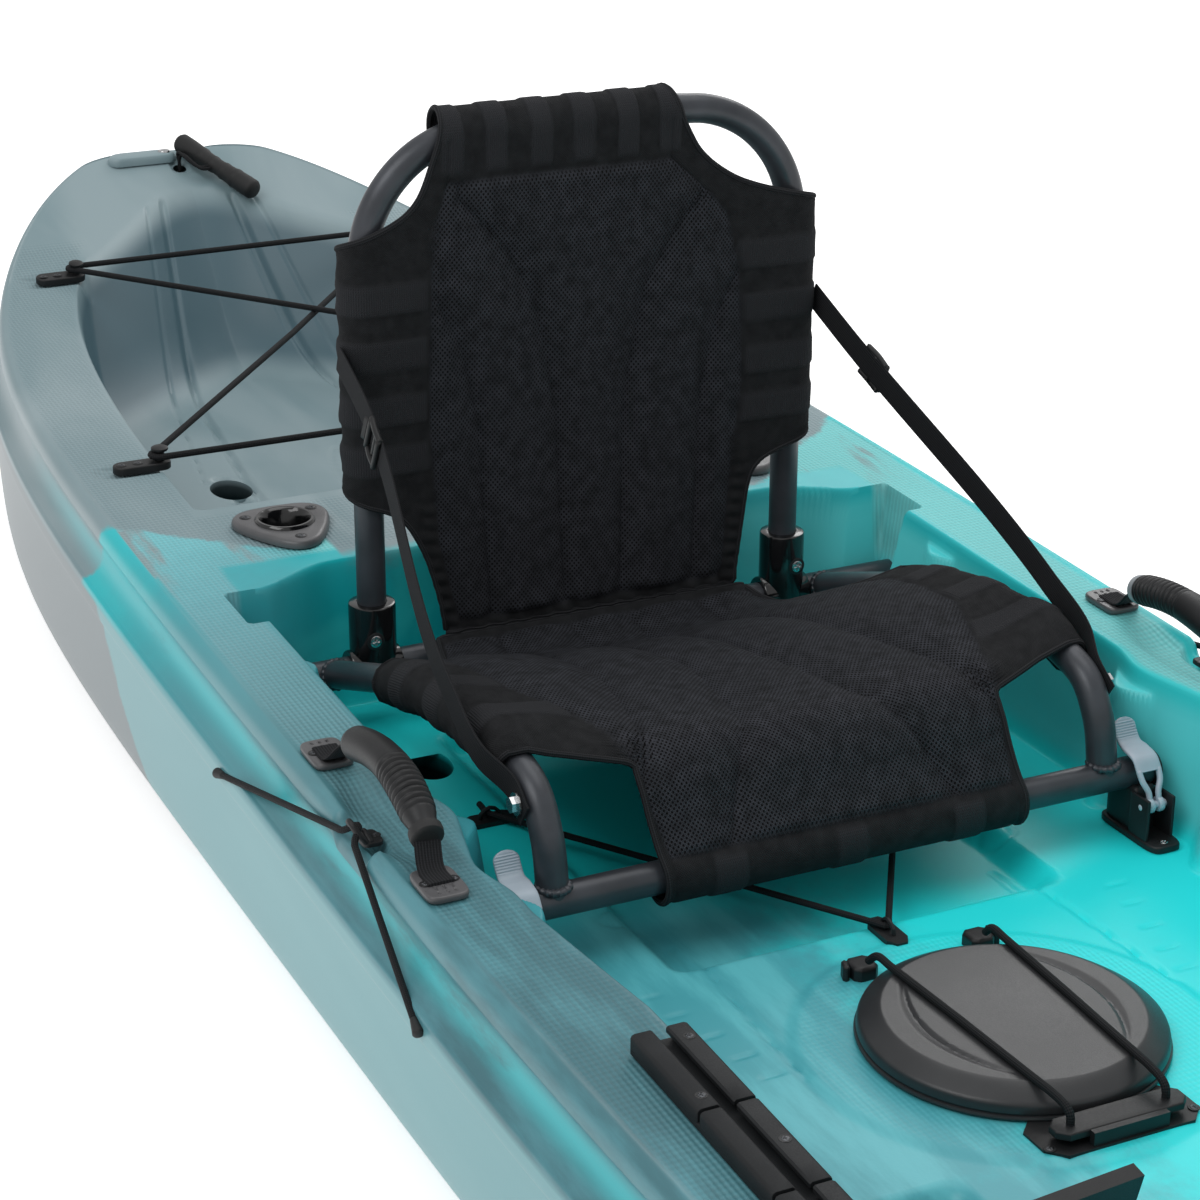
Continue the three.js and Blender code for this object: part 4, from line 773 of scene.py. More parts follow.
def pockets(x, y):
    """Recesses in the strip: under the carry grips, round the keeper hooks and the bungee hooks, and at
    the stern's cord hole."""
    total = dish(x, y, 37, 350, 76, 27, 9.0)
    total += dish(x, y, KEEPER_X, 377, 36, 22, 12.0, 0.32)
    for hx, hy in HOOKS:
        total += dish(x, y, hx, hy + 8, 20, 46, 4.5, 0.35)
    total += np.where(x < -1400, dish(x, y, -TOGGLE_X, 0, 17, 13, 4.0, 0.4), 0)
    return total


# The flank's profile amidships as (out, down) pairs: its rolled edge, the groove, the belly and the seam
# lip
FLANK = np.array([
    (0, 0), (3, 0.2), (7.5, 2.0), (11.2, 6.5), (12.8, 12), (13.2, 16.5), (12.4, 18.6), (10.6, 20),
    (9.8, 24), (9.9, 30),
    (11.6, 37), (15.4, 44), (20.0, 49), (23.6, 51.6), (25.0, 52.6), (27.4, 53.2), (28.4, 55.0), (28.8, 62),
], float)


def cut_corners(line, times):
    """A line smoothed by cutting its corners: each pass puts points at a quarter and three quarters of
    every edge."""
    for _ in range(times):
        quarter, rest = (lerp(line[..., :-1, :], line[..., 1:, :], share) for share in (0.25, 0.75))
        inner = np.stack([quarter, rest], -2).reshape(*line.shape[:-2], -1, line.shape[-1])
        line = np.concatenate([line[..., :1, :], inner[..., 1:-1, :], line[..., -1:, :]], -2)
    return line


def flank_half(x):
    """The port flank from the strip's edge down to the seam lip, as its half-width and its drop at each
    station."""
    line = cut_corners(FLANK, 1)
    scale = flat_half(x)[:, None] / HALF_BEAM
    across = flat_half(x)[:, None] + line[:, 0] * scale
    return across, np.broadcast_to(line[:, 1], across.shape)


def deck_half(x, well, wall, strip):
    """Port half-widths across the deck: even over the floor, close together over the wall, even on the
    strip."""
    rim, flat = rim_half(x)[:, None], flat_half(x)[:, None]
    foot, top = rim - np.minimum(34, rim * 0.4), rim + np.minimum(5, (flat - rim) * 0.2)
    floor = foot * np.linspace(0, 1, well)
    steep = lerp(foot, top, np.linspace(0, 1, wall + 1)[1:])
    flat_part = lerp(top, flat, np.linspace(0, 1, strip + 1)[1:-1])
    return np.concatenate([floor, steep, flat_part], 1)


def grain_share(x, across):
    """Where the mould prints its woven grain: the strips, the ridge's top and a ring round the hatch."""
    strip = ramp(3, 9, across - rim_half(x)) * ramp(1.0, 4.0, flat_half(x) - across)
    strip = strip * ramp(-1390, -1370, x) * ramp(1350, 1330, x)
    ridge = ramp(-574, -566, x) * ramp(RIDGE_FRONT - 18, RIDGE_FRONT - 28, x)
    away = np.hypot(x - HATCH_X, across)
    ring = ramp(150, 146, away) * ramp(108, 112, away)
    return np.clip(np.maximum(np.maximum(strip, ridge), 0.3 * ring), 0, 1)


def open_holes(points, faces, holes):
    """Ovals cut through a sheet: the corners just inside each edge move out onto it, and the faces wholly
    inside go."""
    inside = np.zeros(len(points), bool)
    for cx, cy, hx, hy in holes:
        for side in ((1, -1) if cy else (1,)):
            across, ahead = (points[:, 1] - side * cy) / hy, (points[:, 0] - cx) / hx
            reach = np.hypot(across, ahead)
            own = (reach < 1) & (np.abs(points[:, 1] - side * cy) < hy)
            inside |= own
            out = own & (reach > 0.3)
            scale = np.where(out, 1 / np.maximum(reach, 0.3), 1)
            moved = np.stack([cx + ahead * hx * scale, side * cy + across * hy * scale], -1)
            near = own & (reach > 1 - 6.5 / min(hx, hy))
            points[near, :2] = moved[near]
    keep = ~inside[faces].all(1)
    return points, faces[keep]


def facing(points, face):
    """Which way a quad faces: its first edge crossed with its last."""
    return np.cross(points[face[1]] - points[face[0]], points[face[3]] - points[face[0]])


def hull_piece(name, points, faces, fields, crease=60):
    """A piece of the shell, open at the edges that it shares with its neighbours."""
    return put_mesh(
        name, points, faces, POLYETHYLENE, "kayak", closed=False, crease=crease, fields=fields, slot="shell"
    )


def deck_piece(name, stations, columns, holes=()):
    """One length of the deck: the wells, the strips and the flanks down to the seam lip."""
    x = np.asarray(stations, float)
    half = deck_half(x, *columns)
    narrow = narrowing(x)[:, None]
    flank, drop = flank_half(x)
    across = np.concatenate([half, flank], 1)
    low = np.concatenate([np.zeros_like(half), drop], 1)
    station = np.broadcast_to(x[:, None], across.shape)
    crest = ramp(30, 12, low)
    level = strip_level(station) - low
    sunk, on_deck = well_depth(station, across), low == 0
    top = level - (sunk + sunken(station, across)) * on_deck - pockets(station, across) * crest
    grain = grain_share(station, across) * on_deck
    groove = hump(low, 34, 17) * ramp(-900, -500, station) * 0.9
    sunk = sunk * on_deck
    to_floor = level - np.where(station < WELL_SPLIT, TANK_FLOOR, SEAT_FLOOR)
    wall = smooth(ramp(5, 26, sunk)) * smooth(ramp(0, -24, sunk - to_floor))
    port = np.stack([station, across * narrow, top], -1)
    sheet = np.concatenate([port[:, :0:-1], port * (1, -1, 1)], 1)
    fields = {"grain": grain, "groove": groove, "lower": ramp(57, 60, low), "wall": wall}
    fields = {key: np.concatenate([values[:, :0:-1], values], 1) for key, values in fields.items()}
    points = sheet.reshape(-1, 3)
    faces = grid_faces(*sheet.shape[:2])
    if holes:
        points, faces = open_holes(points, faces, holes)
    return hull_piece(name, points, faces, fields)


def lower_half(x):
    """The port side under the seam lip: a near-upright side, the bilge, the sponson, the tunnel and the
    keel."""
    flat = flat_half(x)
    k, foot, seam = flat / HALF_BEAM, keel(x), strip_level(x) - SEAM_DROP
    side = lerp(seam, foot, 0.45)
    corners = [
        (flat + 28.8 * k, seam), (flat + 29.0 * k, seam - 9), (flat + 28.2 * k, seam - 12),
        (flat + 26.6 * k, seam - 12.5),
        (flat + 26.2 * k, seam - 17), (flat + 25 * k, side),
        (flat + 20 * k, lerp(side, foot, 0.45)), (flat + 6 * k, foot + 46), (flat - 14 * k, foot + 20),
        (flat - 40 * k, foot + 7), (flat * 0.64 + 30 * k, foot + 1), (flat * 0.64 - 20 * k, foot + 1),
        (flat * 0.5, foot + 13), (flat * 0.38, foot + 13), (flat * 0.25, foot + 2), (flat * 0.1, foot),
        (0 * flat, foot),
    ]
    line = np.stack([np.stack(pair, -1) for pair in corners], 1)
    return cut_corners(line, 2)


def lower_hull():
    """The hull below the seam lip in one skin from lip to lip, closed against the deck pieces by their
    shared edge."""
    stern, bow = np.linspace(STERN_END, -1500, 12)[:-1], np.linspace(1500, BOW_END, 14)
    x = np.concatenate([stern, np.arange(-1500, 1500, 14), bow])
    half = lower_half(x)
    narrow = narrowing(x)[:, None]
    lift = END_DROP * end_turn(x)[:, None] * ramp(120, 0, half[..., 1] - keel(x)[:, None])
    port = np.stack(
        [np.broadcast_to(x[:, None], half.shape[:2]), half[..., 0] * narrow, half[..., 1] + lift], -1
    )
    sheet = np.concatenate([port * (1, -1, 1), port[:, -2::-1]], 1)
    points = sheet.reshape(-1, 3)
    nothing = np.zeros(len(points))
    fields = {"grain": nothing, "groove": nothing, "lower": nothing + 1}
    faces = grid_faces(*sheet.shape[:2])
    points, faces = open_holes(points, faces, [(sx, sy, SCUPPER_R, SCUPPER_R) for sx, sy, _, _ in SCUPPERS])
    return hull_piece("hull_lower_side", points, faces, fields)


def end_face(name, x, bulge):
    """The blunt end of the hull: its outline at x drawn in to the middle, standing proud by a shallow
    dome."""
    at = np.array([float(x)])
    half = deck_half(at, 40, 34, 10)[0]
    flank, drop = (values[0] for values in flank_half(at))
    across, low = np.concatenate([half, flank]), np.concatenate([0 * half, drop])
    level = strip_level(x) - low
    upper = np.column_stack([across, level])
    lower = lower_half(at)[0]
    lower[:, 1] += END_DROP * end_turn(x) * ramp(120, 0, lower[:, 1] - keel(x))
    port = np.concatenate([upper, lower[1:]])
    port[:, 0] *= narrowing(x)
    outline = np.concatenate([port, (port * (-1, 1))[-2:0:-1]])
    middle = np.array([0, outline[:, 1].min() * 0.5 + outline[:, 1].max() * 0.5])
    share = np.array([1, 0.97, 0.9, 0.75, 0.5, 0.25, 0.05])
    flat = middle + (outline - middle) * share[:, None, None]
    out = x + bulge * np.sqrt(1 - share**2)
    rings = np.stack([np.broadcast_to(out[:, None], flat.shape[:2]), flat[..., 0], flat[..., 1]], -1)
    columns = rings.shape[1]
    points = np.vstack([rings.reshape(-1, 3), rings[-1].mean(0)])
    last = (len(share) - 1) * columns
    faces = grid_faces(len(share), columns, True).tolist()
    faces += [(len(points) - 1, last + j, last + (j + 1) % columns) for j in range(columns)]
    if facing(points, faces[0])[0] * bulge < 0:
        faces = [face[::-1] for face in faces]
    fields = {key: np.zeros(len(points)) for key in ("grain", "groove")}
    fields["lower"] = ramp(sheer(x) - 60, sheer(x) - 66, points[:, 2])
    return hull_piece(name, points, faces, fields)


def scupper_wall(name, place, side):
    """The drain column between an oval in the floor and a round hole in the bottom."""
    cx, cy, hx, hy = place
    top, bottom = well_floor(cx, cy), keel(cx) + 2
    turn = turns(48)
    share = np.array([0, 0.05, 0.15, 0.4, 0.7, 1.0])
    size_x, size_y = (lerp(size, SCUPPER_R, smooth(share)) for size in (hx, hy))
    height = lerp(top, bottom, share)
    ring = np.stack([
        cx + size_x[:, None] * np.cos(turn), side * cy + size_y[:, None] * np.sin(turn),
        np.broadcast_to(height[:, None], (len(share), 48)),
    ], -1)
    points = ring.reshape(-1, 3)
    faces = grid_faces(len(share), 48, True)
    if np.dot(facing(points, faces[0])[:2], np.array([cx, side * cy]) - points[0, :2]) < 0:
        faces = faces[:, ::-1]
    # The column's first field darkens it nearly to black from just below its top: painted shade inside the
    # drain.
    fields = {"drain_shade": ramp(0.0, 0.06, np.repeat(share, 48)), "lower": np.zeros(len(points))}
    return hull_piece(name, points, faces, fields, 40)


def well_floor(x, y):
    """Height of the deck at a place."""
    x, y = np.array([[float(x)]]), np.array([[float(y)]])
    return float((sheer(x) - well_depth(x, y) - sunken(x, y) - pockets(x, y))[0, 0])


def even(*marks):
    """Stations that are even between marks, given as (place, spacing up to the next mark)."""
    spans = [(a, b, max(2, int(round((b - a) / step)) + 1)) for (a, step), (b, _) in zip(marks, marks[1:])]
    return np.concatenate([*(np.linspace(*span)[:-1] for span in spans), [marks[-1][0]]])


def make_hull():
    """The shell in eight pieces that share their edges, and the walls of its six drain columns."""
    rods, hatch = [(ROD_X, ROD_Y, 26, 26)], [(HATCH_X, 0, 92, 92)]
    toggles = [(-TOGGLE_X, 0, 8, 8), (TOGGLE_X, 0, 8, 8)]
    pieces = [
        deck_piece(
            "hull_deck_stern", even((STERN_END, 1.6), (-1500, 2.6), (-1100, 0)), (70, 30, 26), toggles[:1]
        ),
        deck_piece(
            "hull_deck_tank", even((-1100, 2.8), (-625, 1.3), (-575, 2.2), (-462, 0)), (70, 34, 24),
            [SCUPPERS[0], *rods]
        ),
        deck_piece("hull_deck_seat", even((-462, 1.4), (-385, 2.0), (-280, 0)), (60, 34, 46)),
        deck_piece("hull_deck_middle", even((-280, 3.0), (620, 0)), (80, 34, 24), [SCUPPERS[1], *hatch]),
        deck_piece(
            "hull_deck_bow", even((620, 4.0), (1000, 5.5), (1500, 2.4), (BOW_END, 0)), (46, 26, 18),
            [SCUPPERS[2], toggles[1]]
        ),
        lower_hull(), end_face("hull_stern_face", STERN_END, -4.0), end_face("hull_bow_face", BOW_END, 2.0),
    ]
    for index, place in enumerate(SCUPPERS):
        pieces += [
            scupper_wall(f"scupper_{('tank', 'seat', 'bow')[index]}_{side}", place, s) for side, s in SIDES
        ]
    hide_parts("hull")


def make_stern_lug():
    """A moulded lug beside the stern's cord hole: a raised rounded bar with an eye near its port end."""
    place = standing(-1536, -42, float(sheer(-1536)) - 3.5, 90, 0.05)
    outline = capsule(84, 25)
    rings = [
        (0.985, 0.0), (1.0, 1.0), (0.99, 6.0), (0.95, 9.0), (0.88, 10.6), (0.75, 11.4), (0.45, 11.8),
        (0.1, 11.9)
    ]
    grid = np.array([
        np.column_stack([outline * share, np.full(len(outline), height)]) for share, height in rings
    ])
    skin("stern_lug", place(grid), POLYETHYLENE, "kayak", slot="shell")
    spot = place(np.array([[28.0, 0.0, 11.4]]))[0]
    eye = turned_rings(
        [(4.4, -6), (7.4, -6), (7.6, 0.2), (7.0, 1.3), (5.4, 1.6), (4.4, 0.9)], spot, (0, 0, 1), 40
    )
    skin("stern_lug_eye", eye, STAINLESS, "kayak", slot="steel")
    # A black disc fills the eye just under its top: painted shade where the hole goes down.
    pit = turned_rings([(0.2, -0.6), (4.6, -0.6), (4.6, 0.1), (0.2, 0.1)], spot, (0, 0, 1), 32)
    skin("stern_lug_eye_shade", pit, GLOSS_NYLON, "kayak", slot="plastic")


make_hull()
make_stern_lug()


# Seat cloth

def sheet_normals(grid):
    """Directions square to a sheet, along its column direction crossed with its row direction."""
    return unit(np.cross(np.gradient(grid, axis=1), np.gradient(grid, axis=0)))


def wrap(across, tube_y, radius):
    """A run of cloth over two side tubes: flat between them, then round each one. Gives the place across
    and outward."""
    over = np.maximum(np.abs(across) - tube_y, 0) / radius
    place = np.minimum(np.abs(across), tube_y) + radius * np.sin(over)
    return np.sign(across) * place, radius * np.cos(over)


def seam_dent(distance, width=3.0, depth=2.4):
    """A stitched line: a narrow dent."""
    return -depth * np.exp(-(distance / width) ** 2)


def puffed(distances, height=5.0, reach=17.0):
    """Filling between seams: nothing at the nearest seam, rising to its full height away from it."""
    nearest = np.minimum.reduce([np.abs(d) for d in distances])
    return height * (1 - np.exp(-(nearest / reach) ** 2))


def edge_round(grid, name, finish, radius, body, **more):
    """The bound edge of a sheet: a bead that follows its whole outline."""
    outline = np.concatenate([grid[0, :-1], grid[:-1, -1], grid[-1, :0:-1], grid[:0:-1, 0]])
    run = run_along(outline)
    even_run = np.linspace(0, run[-1], int(run[-1] / 5))
    path = np.stack([np.interp(even_run, run, outline[:, k]) for k in range(3)], -1)
    rings, uv = rod_rings(path, radius, 5.0, 10)
    return skin(name, rings, finish, body, uv=uv, **more)


def cloth(name, grid, fields, uv, thickness, body=None):
    """Cloth as one sheet of points, given its thickness on both sides of it."""
    made = put_mesh(name, grid.reshape(-1, 3), grid_faces(*grid.shape[:2]).tolist(), SLING_CLOTH, body,
                    closed=False, crease=75, uv=uv, fields=fields, slot="fabric")
    thick = made.modifiers.new("thickness", "SOLIDIFY")
    thick.thickness, thick.offset = thickness * MM, 0.0
    return made


def back_half(run, side):
    """Half-width of the back sling along its run: narrow at the foot, round the legs at the sides, in at
    the neck. It is mounted a little to starboard, so the neck is narrower on the port side."""
    marks = [0, 34, 70, 92, 112, 124, 134, 146, 326, 338, 348, 356, 366, 380, 400, 428, 446, 470, 560]
    half = {
        1: [140, 145, 150, 153, 160, 180, 236, 262, 262, 256, 226, 186, 150, 124, 100, 84, 78, 74, 70],
        -1: [140, 146, 156, 166, 178, 196, 238, 262, 262, 258, 238, 206, 178, 160, 150, 140, 136, 132, 128],
    }[side]
    reach = np.arange(-9.0, 10, 3)
    return np.mean([np.interp(run + shift, marks, half) for shift in reach], 0)


def back_path(run):
    """The sling's middle line in x and z: up the front, over the top tube and down a little behind it."""
    turn = np.clip((run - BACK_RUN) / SLING_R, 0, math.pi)
    past = np.maximum(run - BACK_RUN - math.pi * SLING_R, 0)
    x = np.where(run < BACK_RUN, SLING_R, SLING_R * np.cos(turn))
    z = np.where(run < BACK_RUN, BACK_FOOT + run, BACK_TOP + SLING_R * np.sin(turn) - past)
    return x, z


def sling_shares():
    """Places across a sling from -1 to 1, closer together towards its sides."""
    share = np.linspace(-1, 1, 150)
    return np.sign(share) * lerp(np.abs(share), np.abs(share) ** 0.8, 0.6)


def back_sling():
    """The backrest's cloth: its middle line and its half-widths give a sheet, which bellies between the
    tubes and is lifted along its normals by seams, filling, webbing and folds."""
    over_tube = BACK_RUN + math.pi * SLING_R
    run = np.concatenate([
        np.linspace(0, BACK_RUN, 150), np.linspace(438, over_tube, 24), np.linspace(500, 538, 10)
    ])
    share = sling_shares()
    across = np.where(share > 0, back_half(run, 1)[:, None], back_half(run, -1)[:, None]) * share
    along_run = np.broadcast_to(run[:, None], across.shape)
    path_x, path_z = back_path(run)
    flat_y, out = wrap(across, LEG_Y, SLING_R)
    height = BACK_FOOT + run
    width = np.clip(np.abs(across) / 170, 0, 1)
    belly = np.sin(math.pi * ramp(0, BACK_RUN, along_run)) * (1 - width**2)
    front = run[:, None] < BACK_RUN
    x = np.where(front, out - 9 * belly, path_x[:, None])
    grid = np.stack([REAR_X + x, flat_y, np.broadcast_to(path_z[:, None], x.shape)], -1)
    levels = [205, 213, 280, 387, 483, 540, 562, 592]
    starboard = np.interp(height, levels, [128, 131, 146, 152, 149, 146, 142, 132])[:, None]
    port = np.interp(height, levels, [126, 129, 134, 146, 142, 128, 108, 74])[:, None]
    mesh_half = np.where(across < 0, starboard, port)
    reach = np.abs(across)
    mesh = ramp(mesh_half + 1.5, mesh_half - 1.5, reach)
    mesh = mesh * ramp(203, 206, height)[:, None] * ramp(593, 589, height)[:, None]
    inner = reach - np.interp(height, [205, 388, 480, 531, 578], [27, 33, 51, 80, 122])[:, None]
    outer = reach - np.interp(height, [205, 388, 446, 500], [98, 107, 120, 146])[:, None]
    hem = mesh_half - reach
    level = np.broadcast_to(height[:, None], reach.shape)
    dents = seam_dent(inner) * mesh + seam_dent(outer) * mesh * ramp(505, 495, level)
    dents += seam_dent(hem, 2.2, 1.2) * front
    dents += (seam_dent(level - 205) + seam_dent(level - 591)) * ramp(4, 0, reach - mesh_half) * 0.8
    filling = puffed([inner, outer, hem]) * mesh
    wing = ramp(2, 5, reach - mesh_half) * front
    bands = sum(ramp(13.5, 11.5, np.abs(level - place)) for place in (500, 452, 404, 360)) * wing
    top_bands = ramp(10, 8.5, np.abs((across + 28) % 40 - 20)) * ramp(598, 601, level)
    webbing = np.clip(np.maximum(bands, top_bands), 0, 1)
    folds = 1.8 * np.sin(flat_y * 0.30 + level * 0.08) * hump(level, 196, 22)
    folds += 0.8 * np.sin(level * 0.21) * hump(reach, 246, 34) * wing
    folds += 1.6 * np.sin(level * 0.5 + across * 0.1) * hump(reach, mesh_half + 8, 12) * ramp(330, 300, level)
    folds += 1.8 * np.sin(across * 0.085 + level * 0.03) * hump(level, 622, 34)
    grid = grid + sheet_normals(grid) * (dents + filling + 1.3 * webbing + folds)[..., None]
    uv = np.stack([across, along_run], -1)
    made = cloth("back_sling_cloth", grid, {"mesh": mesh, "webbing": webbing}, uv, 3.0, "seat_back")
    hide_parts("seat_back_sling")
    bead = edge_round(grid, "back_sling_binding", WEBBING, 2.6, "seat_back", slot="fabric")
    return made, bead


def side_tube_path(side):
    """The bent side rail from the rear bar over its rise and crest down to the front bar."""
    line = [
        (-372, 167), (-205, 225.3), (-165, 237), (-100, 249.3), (-20, 256), (20, 252), (55, 240), (73, 216),
        (85, 167)
    ]
    return [(x, side * SIDE_Y, z) for x, z in line]


def seat_line():
    """The seat sling's side line in x and z: along the rails, forward off their crest and round the front
    bar."""
    rail = along([(x, 0, z + SLING_R) for x, _, z in side_tube_path(1)[1:5]], 3.0)
    rear = [(-350, 0, 192), (-330, 0, 190), (-306, 0, 198), (-270, 0, 217), (-236, 0, 232)]
    fore = [(14, 0, 272), (36, 0, 262), (58, 0, 236), (76, 0, 206)]
    turn = np.radians(np.arange(60, -171, -15))
    round_bar = np.stack([BAR_X + SLING_R * np.cos(turn), 0 * turn, BAR_Z + SLING_R * np.sin(turn)], -1)
    return along(np.vstack([rear, rail[::6], fore, round_bar]), 3.4)


def seat_sling():
    """The seat's cloth, made as the backrest's is: it sags between the rails and wraps the front bar."""
    line = seat_line()
    x_line, z_line = line[:, 0], line[:, 2]
    run = run_along(line)
    at_wide, at_shoulder = run[np.argmin(np.abs(x_line + 212))], run[np.argmax(x_line > 14)]
    corner = [at_shoulder + past for past in (0, 12, 24, 40)]
    marks = [0, at_wide - 60, at_wide - 22, at_wide, *corner, run[-1]]
    half = np.interp(run, marks, [150, 172, 205, 300, 300, 262, 205, 158, 155])
    across = -half[:, None] * sling_shares()
    along_run = np.broadcast_to(run[:, None], across.shape)
    flat_y, out = wrap(across, SIDE_Y, SLING_R)
    sag = 30 * (1 - np.clip(np.abs(across) / SIDE_Y, 0, 1) ** 2)
    sag = sag * smooth(ramp(0, 90, along_run)) * smooth(ramp(at_shoulder + 75, at_shoulder - 30, along_run))
    z = z_line[:, None] + out - SLING_R - sag
    grid = np.stack([np.broadcast_to(x_line[:, None], z.shape), flat_y, z], -1)
    reach = np.abs(across)
    mesh_half = np.interp(x_line, [-330, -200, -80, 10, 90], [150, 212, 203, 168, 150])[:, None]
    ahead = run[-1] - along_run
    at_bar = run[np.argmax(x_line > 92)] if (x_line > 92).any() else run[-1] - 60
    mesh = ramp(mesh_half + 1.5, mesh_half - 1.5, reach)
    mesh = mesh * ramp(8, 12, along_run) * ramp(at_bar + 1, at_bar - 2, along_run)
    marks = [0, at_shoulder - 120, at_shoulder, at_bar]
    inner, outer = (
        reach - np.interp(run, marks, seam)[:, None] for seam in ([28, 31, 52, 98], [98, 112, 138, 172])
    )
    hem = mesh_half - reach
    dents = seam_dent(inner) * mesh + seam_dent(outer) * mesh + seam_dent(hem, 2.2, 1.2)
    dents += (seam_dent(along_run - at_bar) + seam_dent(along_run - 10)) * (reach < mesh_half)
    filling = puffed([inner, outer, hem]) * mesh
    wing = ramp(2, 5, reach - mesh_half)
    bands = sum(ramp(15, 13, np.abs(x_line - place)) for place in (-168, -96, -24))[:, None] * wing
    loops = ramp(14, 12, np.abs((reach + 52) % 104 - 52)) * ramp(at_bar + 6, at_bar + 9, along_run)
    loops = loops * (reach < 130)
    webbing = np.clip(np.maximum(bands, loops), 0, 1)
    folds = 1.0 * np.sin(along_run * 0.24) * hump(reach, 286, 34) * wing
    folds += 1.6 * np.sin(across * 0.16 + along_run * 0.1) * hump(ahead, 4, 20)
    folds += 2.4 * np.sin((across + along_run) * 0.055) * wing * hump(along_run, at_shoulder - 20, 90)
    grid = grid + sheet_normals(grid) * (dents + filling + 1.5 * webbing + folds)[..., None]
    uv = np.stack([across, along_run], -1)
    made = cloth("seat_sling_cloth", grid, {"mesh": mesh, "webbing": webbing}, uv, 3.0)
    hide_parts("seat_sling")
    bead = edge_round(grid, "seat_sling_binding", WEBBING, 2.6, None, slot="fabric")
    for piece in (made, bead):
        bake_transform(piece)
    return made, bead


BACK_CLOTH, BACK_BEAD = back_sling()
SEAT_CLOTH, SEAT_BEAD = seat_sling()


def strap_points(side):
    """A side strap's line from the bolt on the rail, round the rail and up to the hoop's leg."""
    line = [
        (66, 254.9, 229.3), (46, 254.9, 242.7), (14, 266.7, 258), (-44, 266.7, 286), (-312, 227.6, 426),
        (-369, 225.6, 450)
    ]
    return [(x, side * y, z) for x, y, z in line]


def make_straps():
    """The side straps, each with its ladder-lock buckle: two side bars, three cross bars and a thumb
    tab."""
    for name, s in SIDES:
        line = strap_points(s)
        run = np.subtract(line[4], line[3])
        across = np.cross(run, (0, s, 0))
        strap = band(f"side_strap_{name}", line, across, 25, 2.4, WEBBING, slot="fabric")
        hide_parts(f"seat_strap_{name}")
        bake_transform(strap)
        along_strap, wide = unit(run.astype(float)), unit(across)
        square = np.cross(wide, along_strap)
        at = np.array(line[4]) - along_strap * 42

        def local(points):
            points = np.asarray(points, float)
            return at + points[..., :1] * along_strap + points[..., 1:2] * wide + points[..., 2:] * square

        parts = [
            rod_rings(local([(-13.5, v, 0), (0, v * 1.03, 0.8), (13.5, v, 0)]), 2.7, 2, 16)[0]
            for v in (-14.2, 14.2)
        ]
        bars = ((-14, 1.2, 2.6), (-1, -1.0, 2.2), (11, 1.4, 2.6))
        parts += [rod_rings(local([(u, -14, w), (u, 14, w)]), r, 4, 16)[0] for u, w, r in bars]
        parts.append(band_rings(local([(15.5, 0, 2.2), (18.5, 0, 4.4)]), wide, 24, 2.6, 1.5)[0])
        buckle = skin(f"ladder_lock_{name}", parts, BLACK_NYLON, "seat_back", slot="plastic")
        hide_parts(f"seat_buckle_{name}")


# Elastic cords

TANK_CORD_R, FLOOR_CORD_R, KEEPER_CORD_R, LID_CORD_R, TOGGLE_CORD_R = 3.2, 2.6, 2.6, 3.0, 2.0


def tank_cord():
    """The tank well's laced cord: round each hook's post, two runs along the sides' ends and two that
    cross."""
    post = {}
    for end, (hx, hy) in zip(("aft", "fore"), HOOKS):
        for side in (1, -1):
            post[end, side] = (hx, side * (hy - 18), float(sheer(hx)) + 9.3)
    r = 4.5 + TANK_CORD_R + 0.6

    def turn_round(key, start, stop):
        px, py, pz = post[key]
        angle = np.radians(np.linspace(start, stop, 7))
        return [(px + r * math.cos(a), py + r * math.sin(a), pz) for a in angle]

    def crossing(a, b, lift):
        middle = [lerp(p, q, 0.5) for p, q in zip(post[a], post[b])]
        return (middle[0], middle[1], middle[2] + lift)

    aft_port = post["aft", 1]
    return [
        (aft_port[0] - r, aft_port[1] - 12, aft_port[2]), *turn_round(("aft", -1), 180, 350),
        crossing(("aft", -1), ("fore", 1), 3.5), *turn_round(("fore", 1), 170, 0),
        *turn_round(("fore", -1), 0, -170),
        crossing(("fore", -1), ("aft", 1), -3.5), *turn_round(("aft", 1), -10, 130),
    ]


def cord(name, points, radius, body, replaced, spacing=3.0):
    """A cord that is pulled straight between its points."""
    made = rod(name, taut(points), radius, BRAID, body, spacing, 14, slot="cord")
    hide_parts(replaced)
    return made


def side_y(x, side, out):
    """The place across of a point that stands out from the strip's edge."""
    return side * (float(flat_half(np.array(x))) + out)


def make_keeper_cord(name, s):
    """The paddle keeper's cord: up from a plug on the side, through the loop of its hook and down to the
    other plug."""
    top = float(sheer(KEEPER_X)) + 0.3
    over = ((32.0, 13.2, -5.2), (KEEPER_X, 5.2, KEEPER_CORD_R), (58.0, 13.2, -5.2))
    line = [(x, side_y(x, s, out), top + lift) for x, out, lift in over]
    aft, fore = ((x, side_y(x, s, 31.2), float(sheer(x)) - 62) for x in (-196.0, 214.0))
    line = [aft, *line, fore]
    cord(f"keeper_cord_{name}", line, KEEPER_CORD_R, "kayak", f"paddle_keeper_cord_{name}")

    def bulb(share):
        return 4.4 - 1.6 * share

    for end, (spot, ahead) in (("aft", (line[0], line[1])), ("fore", (line[-1], line[-2]))):
        pull = unit(np.subtract(ahead, spot))
        spots = [np.add(spot, pull * reach) for reach in (-3, 3, 9)]
        rod(f"keeper_plug_{name}_{end}", spots, bulb, RUBBER, "kayak", 1.5, 20, slot="rubber")


